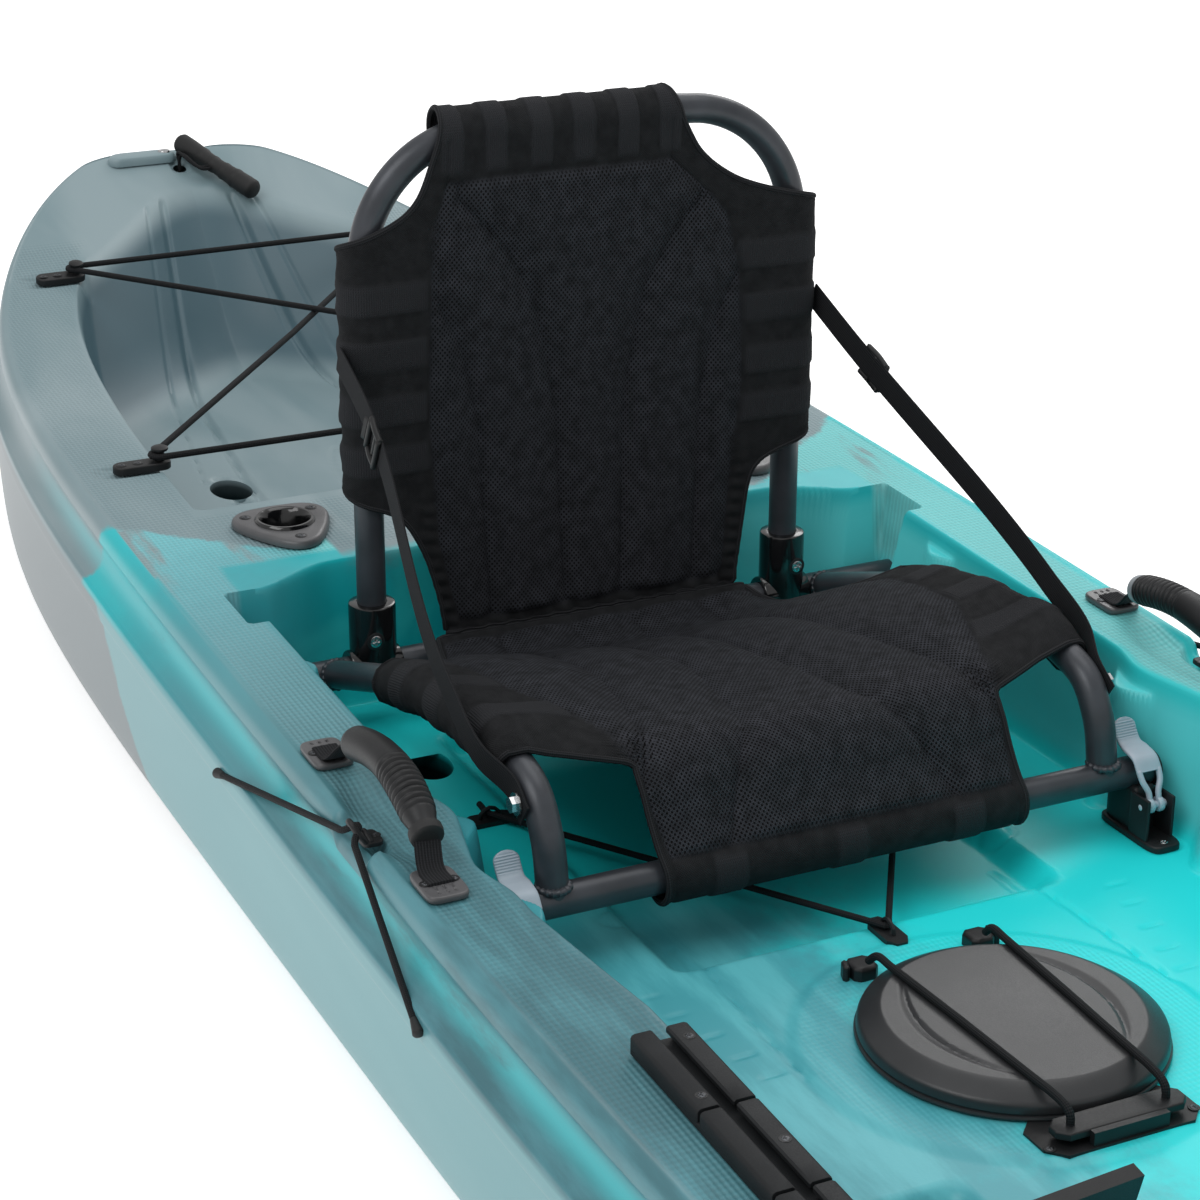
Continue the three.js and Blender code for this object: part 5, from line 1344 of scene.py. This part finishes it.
def make_hatch_cord(name, s):
    """One of the lid's two cords: out of its knuckle, over the lid and down through the catch."""
    top = DECK_Z + 17 + 4 + 2.5 + 3.3
    spread = {x: s * lerp(ANCHOR_Y, 38, float(ramp(ANCHOR_X, CATCH_X, x))) for x in (240, 325, 427)}
    line = [
        (213, s * ANCHOR_Y, DECK_Z + 18), (222, s * 49, DECK_Z + 26), (240, spread[240], top),
        (325, spread[325], top + 0.5), (427, spread[427], top), (449.4, s * 38, top - 7),
        (CATCH_X, s * 38, DECK_Z + 14), (CATCH_X, s * 38, DECK_Z + 9.3),
    ]
    made = cord(f"hatch_lid_cord_{name}", line, LID_CORD_R, None, f"hatch_cord_{name}", 2.0)
    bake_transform(made)


def make_toggle(name, end):
    """An end toggle: two strands out of the deck's hole to the middle of a grip that flares at both
    ends."""
    hole = np.array((end * TOGGLE_X, 0, float(sheer(end * TOGGLE_X))))
    lean, lead = math.radians(25), TOGGLE_X - 35
    spots = [
        np.array((end * lead - t * end * math.cos(lean) * 60, 36 + t * math.sin(lean) * 60, 0))
        for t in (1, -1)
    ]
    for spot in spots:
        spot[2] = float(sheer(spot[0])) + 13.2
    axis, middle = unit(spots[0] - spots[1]), (spots[0] + spots[1]) / 2
    reach = hole - middle
    reach = reach - axis * np.dot(reach, axis)
    reach[2] = 0
    reach = unit(reach)
    beside = middle + reach * 18
    for strand, shift in enumerate((-2.4, 2.4)):
        move = axis * shift
        line = [
            hole + (0, 0, -12), hole + (0, 0, 3), hole + move + (0, 0, 11), beside + move,
            middle + reach * 12 + move,
            middle + move - reach * 9,
        ]
        made = rod(
            f"toggle_cord_{name}_{strand + 1}", line, TOGGLE_CORD_R, BRAID, None, 2.0, 12, slot="cord"
        )
        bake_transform(made)
        if strand == 0:
            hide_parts(f"toggle_cord_{name}")

    def girth(share):
        flare = 12.2 - 2.6 * smooth(np.clip(1 - np.abs(share - 0.5) / 0.42, 0, 1))
        ribs = np.maximum(np.sin((share - 0.5) * 2 * math.pi * 6.5), 0)
        return flare + 0.8 * (np.abs(share - 0.5) < 0.3) * ribs

    ends = [spots[0], middle, spots[1]]
    grip = rod(f"toggle_handle_{name}", ends, girth, RUBBER, f"toggle_{name}", 1.5, 28, slot="rubber")
    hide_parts(f"toggle_grip_{name}")


def make_cords():
    cord("tank_well_cord", tank_cord(), TANK_CORD_R, "kayak", "tank_bungee", 4.0)
    z = DECK_Z + 4 + 3.2
    half = [(-162, 193.6, z), (-142, 193, z), (148, 6.7, z), (157.7, 0, z)]
    eyes = half + [(x, -y, z) for x, y, _ in half[2::-1]]
    cord("seat_floor_cord", eyes, FLOOR_CORD_R, "kayak", "seat_floor_bungee")
    for name, s in SIDES:
        make_keeper_cord(name, s)
        make_hatch_cord(name, s)
    for name, end in (("stern", -1), ("bow", 1)):
        make_toggle(name, end)


make_straps()
make_cords()


# Seat frame

def screw_at(name, centre, axis, radius, body, finish=STAINLESS):
    """A pan-head screw on a dark washer: a low dome with a cross-shaped recess sunk in its middle."""
    axis = unit(np.asarray(axis, float))
    reach = np.array([0.0, 0.15, 0.3, 0.45, 0.6, 0.8, 0.95, 1.0, 1.0])
    profile = np.column_stack([reach * radius, 0.35 * radius * np.sqrt(np.maximum(1 - 0.75 * reach**2, 0))])
    profile[-1, 1] = -0.2
    rings = turned_rings(profile, centre, axis, 48)
    turn = turns(48)
    arm = np.maximum(np.abs(np.cos(turn)) ** 24, np.abs(np.sin(turn)) ** 24)
    dent = arm[None] * ramp(0.7, 0.45, reach)[:, None] * 0.22 * radius
    rings = rings - axis * dent[..., None]
    skin(name, rings[::-1], finish, body, slot="steel")
    washer = [(0.5, -0.3), (radius * 1.5, -0.3), (radius * 1.55, 0.1), (radius * 1.45, 0.4), (0.5, 0.4)]
    skin(f"{name}_washer", turned_rings(washer, centre, axis, 40), BLACK_NYLON, body, slot="plastic")


def weld_rings(centre, axis, radius):
    """A weld: a bead round a tube with the even ripples of its passes."""
    axis = unit(np.asarray(axis, float))
    first = unit(np.cross(axis, (0.3, 0.8, 0.52)))
    turn = np.linspace(0, 2 * math.pi, 73)[:-1]
    spoke = np.cos(turn)[:, None] * first + np.sin(turn)[:, None] * np.cross(axis, first)
    size = 2.6 + 0.5 * np.sin(turn * 17)
    profile = np.linspace(0.15, math.pi - 0.15, 9)
    ahead, out = (shape(profile)[:, None, None] * size[:, None] for shape in (np.cos, np.sin))
    return np.asarray(centre, float) + axis * ahead + spoke * (radius - 1 + out)


def deck_screw(name, spot, radius):
    """A dark screw that stands upright in a deck fitting."""
    screw_at(name, spot, (0, 0, 1), radius, "kayak", DARK_STEEL)


def make_frame():
    """The seat's tubes, the backrest's hoop, the front bar's end caps and the two sockets that the hoop
    turns by."""
    front = rod_rings([(BAR_X, -284, BAR_Z), (BAR_X, 0, BAR_Z), (BAR_X, 284, BAR_Z)], TUBE_R, 20, 32)[0]
    rear = rod_rings([(REAR_X, -321, BAR_Z), (REAR_X, 0, BAR_Z), (REAR_X, 321, BAR_Z)], TUBE_R, 20, 32)[0]
    rails = [rod_rings(side_tube_path(s), TUBE_R - 0.3, 4, 32)[0] for _, s in SIDES]
    welds = [weld_rings((BAR_X, s * SIDE_Y, BAR_Z + 12), (0, 0, 1), 12.6) for _, s in SIDES]
    welds += [
        weld_rings((REAR_X + 12.5, s * SIDE_Y, BAR_Z + 4.4), (0.944, 0, 0.33), 12.6) for _, s in SIDES
    ]
    base = skin("seat_base_tubes", [front, rear, *rails, *welds], POWDER_COAT, "kayak", slot="tube")
    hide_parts("seat_base_frame")
    for name, s in SIDES:
        cap = [(0.5, -2), (13.4, -2), (15.2, -0.6), (15.6, 1.6), (15.0, 4), (12.6, 5.4), (0.5, 5.8)]
        cap = turned_rings(cap, (BAR_X, s * 285, BAR_Z), (0, s, 0), 48)
        skin(f"bar_end_cap_{name}", cap, BLACK_NYLON, "kayak", slot="plastic")
    turn = np.radians(np.linspace(0, 90, 9))
    y, z = LEG_Y - 108 + 108 * np.cos(turn), BACK_TOP - 108 + 108 * np.sin(turn)
    hoop = [(REAR_X, LEG_Y, 190), (REAR_X, LEG_Y, 350)] + [(REAR_X, a, b) for a, b in zip(y, z)]
    hoop += [(REAR_X, -a, b) for _, a, b in reversed(hoop)]
    back = rod("seat_back_hoop", hoop, TUBE_R, POWDER_COAT, "seat_back", 4, 32, slot="tube")
    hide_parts("seat_back_frame")
    for name, s in SIDES:
        foot = [
            (0.5, 160), (16, 160), (20.5, 164), (20.5, 226.2), (19.9, 227.7), (18.6, 228.2), (13.4, 228.2),
            (13.1, 227)
        ]
        foot = turned_rings(foot, (REAR_X, s * LEG_Y, 0))
        collar = [(12.9, -23), (17.2, -23), (18, -22), (18, 22), (17.2, 23), (12.9, 23)]
        collar = turned_rings(collar, (REAR_X, s * LEG_Y, BAR_Z), (0, 1, 0))
        socket = skin(f"back_socket_{name}", [foot, collar], GLOSS_NYLON, "seat_back", slot="plastic")
        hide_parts(f"seat_back_socket_{name}")
        screw_at(f"socket_screw_{name}", (REAR_X + 20.2, s * 207, 199), (1, 0, 0), 5.2, "seat_back")


make_frame()


# Hatch

def lid_height(reach, turn):
    """The lid's top: a flat crown, a chamfer all round it, and on each side a sunken blade that tapers at
    both ends."""
    crown = 25.5 - 1.0 * smooth(ramp(0, 92, reach))
    chamfer = 8.0 * ramp(92, 106, reach) ** 1.2
    x, y = reach * np.cos(turn), np.abs(reach * np.sin(turn))
    inside = y - (67 - 0.0046 * x**2)
    width = 9.5 * np.sqrt(np.clip(1 - (x / 76) ** 2, 0, 1))
    blade = ramp(0, 1.6, inside) * ramp(0, -7, inside - width) * (width > 0)
    return crown - chamfer - 1.9 * blade * ramp(93, 88, reach)


def make_hatch():
    """The round lid with its rolled rim, the neck that it closes, the pull bar, and the knuckles that
    hold its cords."""
    reach = np.concatenate([np.linspace(0.5, 90, 66), np.linspace(91, 106, 16)])
    turn = turns(180)
    r, a = reach[:, None], turn[None]
    top = np.stack([HATCH_X + r * np.cos(a), r * np.sin(a), DECK_Z + lid_height(r, a)], -1)
    edge = [
        (107.6, 15.4), (108.6, 13.0), (109.0, 10.0), (109.0, 8.6), (107.9, 7.9), (107.9, 7.1), (109.8, 6.6),
        (110.4, 5.2), (109.9, 3.9), (108, 3.7), (103.6, 3.9), (103.6, 15.6), (0.5, 15.6),
    ]
    skirt = np.stack([
        np.stack(
            [HATCH_X + radius * np.cos(turn), radius * np.sin(turn), np.full(180, DECK_Z + height)], -1
        )
        for radius, height in edge
    ])
    lid = skin("hatch_lid_moulding", np.concatenate([top, skirt]), LID_NYLON, "hatch", slot="plastic")
    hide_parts("hatch_lid")
    profile = [(84, -24), (87.4, -24), (87.4, 0), (103, 0), (103, 10), (102, 11), (85, 11), (84, 10)]
    neck = turned_rings(profile, (HATCH_X, 0, DECK_Z), columns=96).reshape(-1, 3)
    neck = put_mesh("hatch_neck", neck, ring_faces(len(profile), 96), BLACK_NYLON, "kayak", slot="plastic")
    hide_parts("hatch_collar")
    tab = slab_rings(chamfered(22, 104, 7), 5.4, 1.4, standing(CATCH_X, 0, DECK_Z + 9))
    pull = skin("hatch_pull_bar", tab, BLACK_NYLON, "hatch", slot="plastic")
    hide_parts("hatch_pull_tab")
    for name, s in SIDES:
        knuckle = slab_rings(chamfered(21, 20, 4), 12.6, 3.0, standing(ANCHOR_X, s * ANCHOR_Y, DECK_Z))
        fin = slab_rings(chamfered(13, 5, 2), 13.5, 1.4, standing(203, s * 63, DECK_Z, s * 20))
        piece = skin(f"hatch_knuckle_{name}", [knuckle, fin], BLACK_NYLON, "kayak", slot="plastic")
        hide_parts(f"hatch_cord_anchor_{name}")
        deck_screw(f"hatch_catch_screw_{name}", (456, s * 57.5, DECK_Z + 4.4), 2.8)


# Deck fittings

def make_hooks():
    """The tank well's four cord hooks: a base plate, a post at its inner end and a mushroom cap."""
    for end, (hx, hy) in zip(("aft", "fore"), HOOKS):
        for name, s in SIDES:
            z = float(sheer(hx)) - 3.6
            place = standing(hx, s * hy, z, 90, strip_tilt(hx))
            base = slab_rings(capsule(56, 20), 7.6, 1.8, place)
            post = [(0.5, 7), (4.5, 7), (4.2, 18), (0.5, 18)]
            post = place(turned_rings(post, (-s * 18, 0, 0), columns=32))
            cap = [(0.5, 17.4), (7.6, 17.6), (8.2, 18.6), (8.0, 20.2), (6.4, 21.1), (0.5, 21.4)]
            cap = place(turned_rings(cap, (-s * 18, 0, 0), columns=40))
            hook = skin(
                f"tank_hook_{end}_{name}_body", [base, post, cap], BLACK_NYLON, "kayak", slot="plastic"
            )
            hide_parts(f"tank_hook_{end}_{name}")
            for number, along_plate in enumerate((4.0, 20.0)):
                spot = place(np.array([[s * along_plate, 0.0, 7.6]]))[0]
                deck_screw(f"tank_hook_{end}_{name}_screw_{number + 1}", spot, 3.4)


def make_rod_holders():
    """Flush holder: a cup leaning forward under a rounded three-cornered flange, one skin from the cup's
    floor up its bore, over the rolled lip, across the flange and down its edge."""
    turn = turns(96)
    corner = 47 * (1 + 0.13 * np.cos(3 * turn) + 0.015 * np.cos(6 * turn))
    cup = [
        (0.5, -158), (19, -158), (20.5, -154), (21, -40), (21, 3), (21.8, 7.0), (23.6, 9.4), (25.6, 9.6),
        (27.2, 7.8),
        (27.2, 5.0), (23.4, 2.0), (23.2, -30), (22.4, -158), (0.5, -160.5),
    ]
    lean = math.tan(math.radians(14))
    base = float(sheer(ROD_X)) + 0.3
    for name, s in SIDES:
        rings = [(np.full(96, r), z) for r, z in ((23.8, -20), (23.8, 6.4))]
        rings += [(lerp(28.0, corner - 5, share), 7.0) for share in (0, 0.5, 1)]
        rings += [(corner - 5 + 5 * math.sin(a), 2 + 5 * math.cos(a)) for a in (0.5, 1.0, math.pi / 2)]
        rings += [
            (corner, 0.0), (corner * 0.5 + 12, 0.0), (np.full(96, 25.0), -3.0), (np.full(96, 25.0), -20.0)
        ]
        grid = []
        for reach, z in rings:
            leaning = np.where(reach < 27, 1.0, 0.0)
            narrower = lerp(1.0, 0.9, ramp(27, 40, reach))
            grid.append(np.stack([
                ROD_X + reach * np.cos(turn) - lean * z * leaning,
                s * (ROD_Y + reach * np.sin(turn) * narrower),
                base + z - SHEER_SLOPE * reach * np.cos(turn),
            ], -1))
        points, faces = np.array(grid).reshape(-1, 3), ring_faces(len(grid), 96)
        holder = put_mesh(
            f"rod_holder_{name}_flange", points, faces, CHARCOAL_NYLON, "kayak", slot="plastic"
        )
        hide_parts(f"rod_holder_{name}")
        bore = np.array([
            np.stack([
                ROD_X + r * np.cos(turn) - lean * z, s * (ROD_Y + r * np.sin(turn)),
                base + z - SHEER_SLOPE * r * np.cos(turn),
            ], -1)
            for r, z in cup
        ])
        skin(f"rod_holder_{name}_cup", bore, GLOSS_NYLON, "kayak", slot="plastic")
        for number, angle in enumerate((0, 120, 240)):
            a = math.radians(angle)
            x, y = ROD_X + 40 * math.cos(a), s * (ROD_Y + 36 * math.sin(a))
            spot = (x, y, base + 6.9 - SHEER_SLOPE * 40 * math.cos(a))
            deck_screw(f"rod_holder_{name}_screw_{number + 1}", spot, 3.6)


def slotted_plate(outline, place):
    """A handle's end plate: a rounded slab whose top has three rows of small sunk slots."""
    steps = [(0.985, 0.0), (1.0, 1.2), (1.0, 3.0), (0.975, 4.1), (0.94, 4.6)]
    steps += [(share, 4.6) for share in np.linspace(0.91, 0.03, 34)]
    grid = np.array([
        np.column_stack([outline * share, np.full(len(outline), height)]) for share, height in steps
    ])
    x, y = grid[..., 0], grid[..., 1]
    slots = ramp(2.9, 2.3, np.abs((x + 4) % 8 - 4)) * ramp(1.3, 0.8, np.abs((y + 3) % 6 - 3))
    flat = (np.array([share for share, _ in steps]) < 0.93)[:, None]
    grid[..., 2] -= 1.3 * slots * (np.abs(x) < 17) * (np.abs(y) < 8) * flat
    return place(grid)


def make_handles():
    """Carry handles: webbing in an arch from plate to plate, through a moulded grip that is ribbed at one
    end and has a ring at the other."""
    lift = 4.3 + 14.5 * 0.62
    for name, s in SIDES:
        rise = {
            x: math.sin(math.pi * float(ramp(GRIP_AFT, GRIP_FORE, x))) for x in np.linspace(-24, 114, 9)
        }
        line = [
            (x, s * (GRIP_Y - 8 * arch), float(sheer(x)) + lift + 29 * arch) for x, arch in rise.items()
        ]

        def girth(share):
            ribbed = ramp(0.45, 0.42, share) if s > 0 else ramp(0.48, 0.52, share) * ramp(0.90, 0.86, share)
            rings = -2.0 * ribbed * np.abs(np.cos(share * math.pi * 25)) ** 5
            aft, fore = 1.6 * smooth(ramp(0.04, 0.0, share)), 4.0 * smooth(ramp(0.84, 1.0, share))
            return 13.4 + rings + 0.8 * hump(share, 0.65, 0.3) - aft - fore

        def on_plate(x):
            return (x, s * GRIP_Y, float(sheer(x)) + 6.1)

        grip = rod(
            f"carry_grip_{name}_sleeve", line, girth, BLACK_NYLON, f"handle_{name}", 0.9, 32, slot="plastic"
        )
        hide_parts(f"carry_grip_{name}")
        strap = [on_plate(-77.0), on_plate(-58.7), *line, on_plate(132.7), on_plate(151.0)]
        web = band(f"carry_strap_{name}", strap, (0, 1, 0), 20, 2.4, WEBBING, slot="fabric")
        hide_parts(f"carry_web_{name}")
        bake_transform(web)
        port_ring = (line[0], line[1], RING_NYLON, "grey_plastic")
        tip, inner, finish, kind = port_ring if s > 0 else (line[-1], line[-2], RUBBER, "rubber")
        outline = [(7, -6.5), (10.5, -6.5), (12.0, -5.4), (12.6, -2), (12.4, 1.5), (7, 1.5)]
        ring = turned_rings(outline, tip, np.subtract(inner, tip), 48)
        skin(f"carry_grip_{name}_ring", ring, finish, f"handle_{name}", slot=kind)
        for end, x in (("aft", GRIP_AFT), ("fore", GRIP_FORE)):
            place = standing(x, s * GRIP_Y, float(sheer(x)) + 0.2, 0, strip_tilt(x))
            plate = slotted_plate(oblong(44, 32, 5, 160), place)
            made = skin(f"handle_plate_{end}_{name}_body", plate, CHARCOAL_NYLON, "kayak", slot="plastic")
            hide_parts(f"handle_plate_{end}_{name}")
            for number, dy in enumerate((-10.5, 10.5)):
                spot = place(np.array([[0.0, dy, 4.8]]))[0]
                deck_screw(f"handle_plate_{end}_{name}_screw_{number + 1}", spot, 2.8)


def make_latches():
    """The latches' cradles and levers. A lever is a ribbed thumb tip, a plate bent over the bar, and two
    legs that close in to the rolled hook."""
    for name, s in SIDES:
        y = s * LATCH_Y
        path = [
            (105.5, y, 175), (98.5, y, 183.5), (86, y, 187), (77, y, 189), (71.5, y, 195), (65.5, y, 206)
        ]

        def width(share):
            tip = np.sqrt(np.clip(1 - (ramp(0.86, 1.0, share)) ** 2, 0.05, 1))
            return (23.5 - 2.6 * smooth(ramp(0.45, 0.62, share))) * tip

        def thickness(share):
            ribs = 0.7 * np.sin(share * 2 * math.pi * 24)
            return 3.8 + ribs * ramp(0.66, 0.70, share) * ramp(0.97, 0.94, share)

        plate = band_rings(path, (0, 1, 0), width, thickness, 0.35, 24)[0]
        leg = ((104.5, 9.2, 176), (109, 8.4, 169), (113, 4.6, 160), (115, 4.4, 153))
        legs = [rod_rings([(a, y + side * b, c) for a, b, c in leg], 2.5, 1.5, 14)[0] for side in (1, -1)]
        roll = [(3.3, -2.4), (5.6, -2.4), (6.2, -1.6), (6.2, 1.6), (5.6, 2.4), (3.3, 2.4)]
        rolls = [turned_rings(roll, (115, y + side * 4.6, 150), (0, 1, 0), 32) for side in (1, -1)]
        pin = rod_rings([(115, y - 12.6, 150), (115, y + 12.6, 150)], 3.0, 4, 20)[0]
        lever = skin(
            f"latch_{name}_thumb_lever", [plate, *legs, *rolls, pin], ACETAL, f"latch_{name}",
            slot="grey_plastic"
        )
        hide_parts(f"latch_lever_{name}")
        foot = slab_rings(oblong(78, 30, 5), 5.6, 1.6, standing(100, y, SEAT_FLOOR + 0.3))
        cradle = slab_rings(oblong(39, 22, 7), 38, 5.0, standing(85, y, SEAT_FLOOR + 5))
        sides = [standing(113, y + side * 11.8, SEAT_FLOOR + 5) for side in (1, -1)]
        ears = [slab_rings(oblong(24, 3.2, 6), 36, 1.2, place) for place in sides]
        base = skin(f"latch_cradle_{name}", [foot, cradle, *ears], BLACK_NYLON, "kayak", slot="plastic")
        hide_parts(f"latch_base_{name}")
        screw_at(f"latch_base_{name}_screw", (131, y, SEAT_FLOOR + 5.8), (0, 0, 1), 3.4, "kayak")


def make_tracks():
    """Slotted track: a base with two lipped rails whose tops are cross-cut twice, and countersunk
    screws."""
    for name, s in SIDES:
        def station(x, profile):
            profile = np.asarray(profile, float)
            y, z = s * (TRACK_Y + profile[:, 0]), float(sheer(x)) + 0.2 + profile[:, 1]
            return np.column_stack([np.full(len(profile), x), y, z])

        def run(a, b, profile):
            small = np.asarray(profile, float)
            small = lerp(small, small.mean(0), 0.06)
            full = [a + 0.8, *np.linspace(a + 0.8, b - 0.8, 6)[1:-1], b - 0.8]
            return np.array([station(a, small), *(station(x, profile) for x in full), station(b, small)])

        base = [(-20, 0), (20, 0), (20, 3.4), (19, 4), (-19, 4), (-20, 3.4)]
        rail = [
            (4.6, 11.8), (4.6, 9.2), (9.4, 9.2), (9.6, 8.8), (9.6, 3.6), (20, 3.6), (20, 10.6),
            (19.2, 12.2), (17.4, 13), (6, 13)
        ]
        mirrored = [(-a, b) for a, b in reversed(rail)]
        parts = [run(386, 736, base)]
        for a, b in ((386, 475.5), (478.5, 566.5), (569.5, 736)):
            parts += [run(a, b, rail), run(a, b, mirrored)]
        body = skin(f"slotted_track_{name}", parts, TRACK_POLYMER, "kayak", slot="plastic")
        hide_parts(f"accessory_track_{name}")
        for number, x in enumerate((402, 463, 523, 584, 645, 706)):
            away = 10.5 if number % 2 else -13
            deck_screw(
                f"track_{name}_screw_{number + 1}", (x, s * (TRACK_Y + away), float(sheer(x)) + 13.0), 2.7
            )


def make_keeper_hooks():
    """A small base screwed in the pocket, and a loop that holds the cord."""
    for name, s in SIDES:
        z = float(sheer(KEEPER_X)) - 11
        base = slab_rings(oblong(22, 16, 4), 4.0, 1.4, standing(KEEPER_X, s * 367, z))
        arch = ((37, 371, 2), (38, 378, 11), (42, 381, 17), (48, 381, 17), (52, 378, 11), (53, 371, 2))
        loop = rod_rings([(a, s * b, z + c) for a, b, c in arch], 2.4, 1.5, 16)[0]
        saddle = rod_rings(
            [(a, s * b, z + c) for a, b, c in ((37, 369, 3), (45, 371, 8), (53, 369, 3))], 2.6, 1.5, 16
        )[0]
        piece = skin(f"keeper_hook_{name}", [base, loop, saddle], BLACK_NYLON, "kayak", slot="plastic")
        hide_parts(f"paddle_keeper_hook_{name}")
        deck_screw(f"keeper_hook_{name}_screw", (KEEPER_X, s * 362, z + 4), 2.4)


# The first key that is in a node's name gives its finish; any other node is black nylon
FINISH_BY_NAME = (
    ("accessory_track", TRACK_POLYMER), ("latch_lever", ACETAL), ("strap_bolt", STAINLESS),
    ("drain_plug", RUBBER),
    ("hatch_seal", RUBBER), ("buckle", CHARCOAL_NYLON), ("frame", POWDER_COAT), ("cord", BRAID),
    ("bungee", BRAID),
    ("sling", WEBBING), ("strap", WEBBING), ("web", WEBBING), ("toggle", RUBBER), ("hull", POLYETHYLENE),
)


def dress_nodes():
    """Every CAD node takes a finish by its name, also those that a piece replaces."""
    for node_name, node in nodes.items():
        finish = next((finish for key, finish in FINISH_BY_NAME if key in node_name), BLACK_NYLON)
        for slot in node.material_slots:
            slot.material = finish


make_hatch()
make_hooks()
make_rod_holders()
make_handles()
make_latches()
make_tracks()
make_keeper_hooks()
dress_nodes()


# Stage, light and camera

def make_stage():
    """A paper floor a little below the hull, and a plain world. To the camera and in reflections both are
    white."""
    mesh = bpy.data.meshes.new("studio_floor")
    size, low = 30.0, -0.6 * MM
    corners = [(-size, -size, low), (size, -size, low), (size, size, low), (-size, size, low)]
    mesh.from_pydata(corners, [], [(0, 1, 2, 3)])
    floor = placed("studio_floor", mesh)
    paper, tree, shader = finish_of("matt_white_paper", "#f4f4f4", 0.9)
    path = add(tree, "LightPath").node.outputs
    seen = add(tree, "Math", {0: path["Is Camera Ray"], 1: path["Is Glossy Ray"]}, operation="MAXIMUM")
    tree.links.new(seen, shader["Emission Strength"])
    shader["Emission Color"].default_value = (0.55, 0.55, 0.55, 1.0)
    mesh.materials.append(paper)
    world = bpy.data.worlds.new("studio")
    world.use_nodes = True
    tree = world.node_tree
    sky = tree.nodes["Background"]
    path = add(tree, "LightPath").node.outputs
    clear = add(
        tree, "Math", {0: path["Is Camera Ray"], 1: path["Is Transmission Ray"]}, operation="MAXIMUM"
    )
    tree.links.new(add(tree, "MapRange", {0: clear, 3: 0.60, 4: 1.0}), sky.inputs["Strength"])
    sky.inputs["Color"].default_value = (1, 1, 1, 1)
    bpy.context.scene.world = world


def aimed(axes, place):
    """The matrix of a lamp or camera from its right, up and back directions and its place."""
    return Matrix(np.block([[np.column_stack(axes), place[:, None]], [np.zeros((1, 3)), 1]]).tolist())


def lamp(name, place, aim, size, power):
    """A soft rectangular lamp that faces its aim, with its size in metres and its power in watts."""
    light = bpy.data.lights.new(name, "AREA")
    light.shape, light.size, light.size_y, light.energy = "RECTANGLE", size[0], size[1], power
    held = placed(name, light)
    place, aim = np.array(place, float), np.array(aim, float)
    back = unit(place - aim)
    right = unit(np.cross((0, 1, 0) if abs(back[2]) > 0.98 else (0, 0, 1), back))
    held.matrix_world = aimed([right, np.cross(back, right), back], place)


def make_camera():
    """The photograph's view: looking aft and to port from over the starboard bow, turned by yaw, pitch
    and roll."""
    yaw, pitch, roll = 0.449319, 0.385500, 0.0024153
    place, focal, frame_width = np.array((1.72718, -0.99588, 1.13690)), 2800.53, 1200
    ahead = np.array((-math.cos(yaw) * math.cos(pitch), math.sin(yaw) * math.cos(pitch), -math.sin(pitch)))
    right = unit(np.cross(ahead, (0, 0, 1)))
    up = np.cross(right, ahead)
    c, s = math.cos(roll), math.sin(roll)
    right, up = c * right + s * up, c * up - s * right
    camera = bpy.data.cameras.new("camera")
    camera.sensor_width, camera.lens = 36.0, focal / frame_width * 36
    camera.clip_start, camera.clip_end = 0.05, 60.0
    held = placed("camera", camera)
    held.matrix_world = aimed([right, up, -ahead], place)
    bpy.context.scene.camera = held


make_stage()
lamp("key", (0.6, -2.6, 3.4), (-0.4, 0, 0.2), (2.6, 1.8), 44)
lamp("top", (-0.8, 0.8, 3.6), (-0.5, 0, 0.2), (3.0, 2.2), 30)
lamp("rim", (-2.8, 2.2, 2.2), (-0.6, 0, 0.3), (1.6, 1.2), 18)
make_camera()
bpy.context.scene.view_settings.view_transform = "Standard"
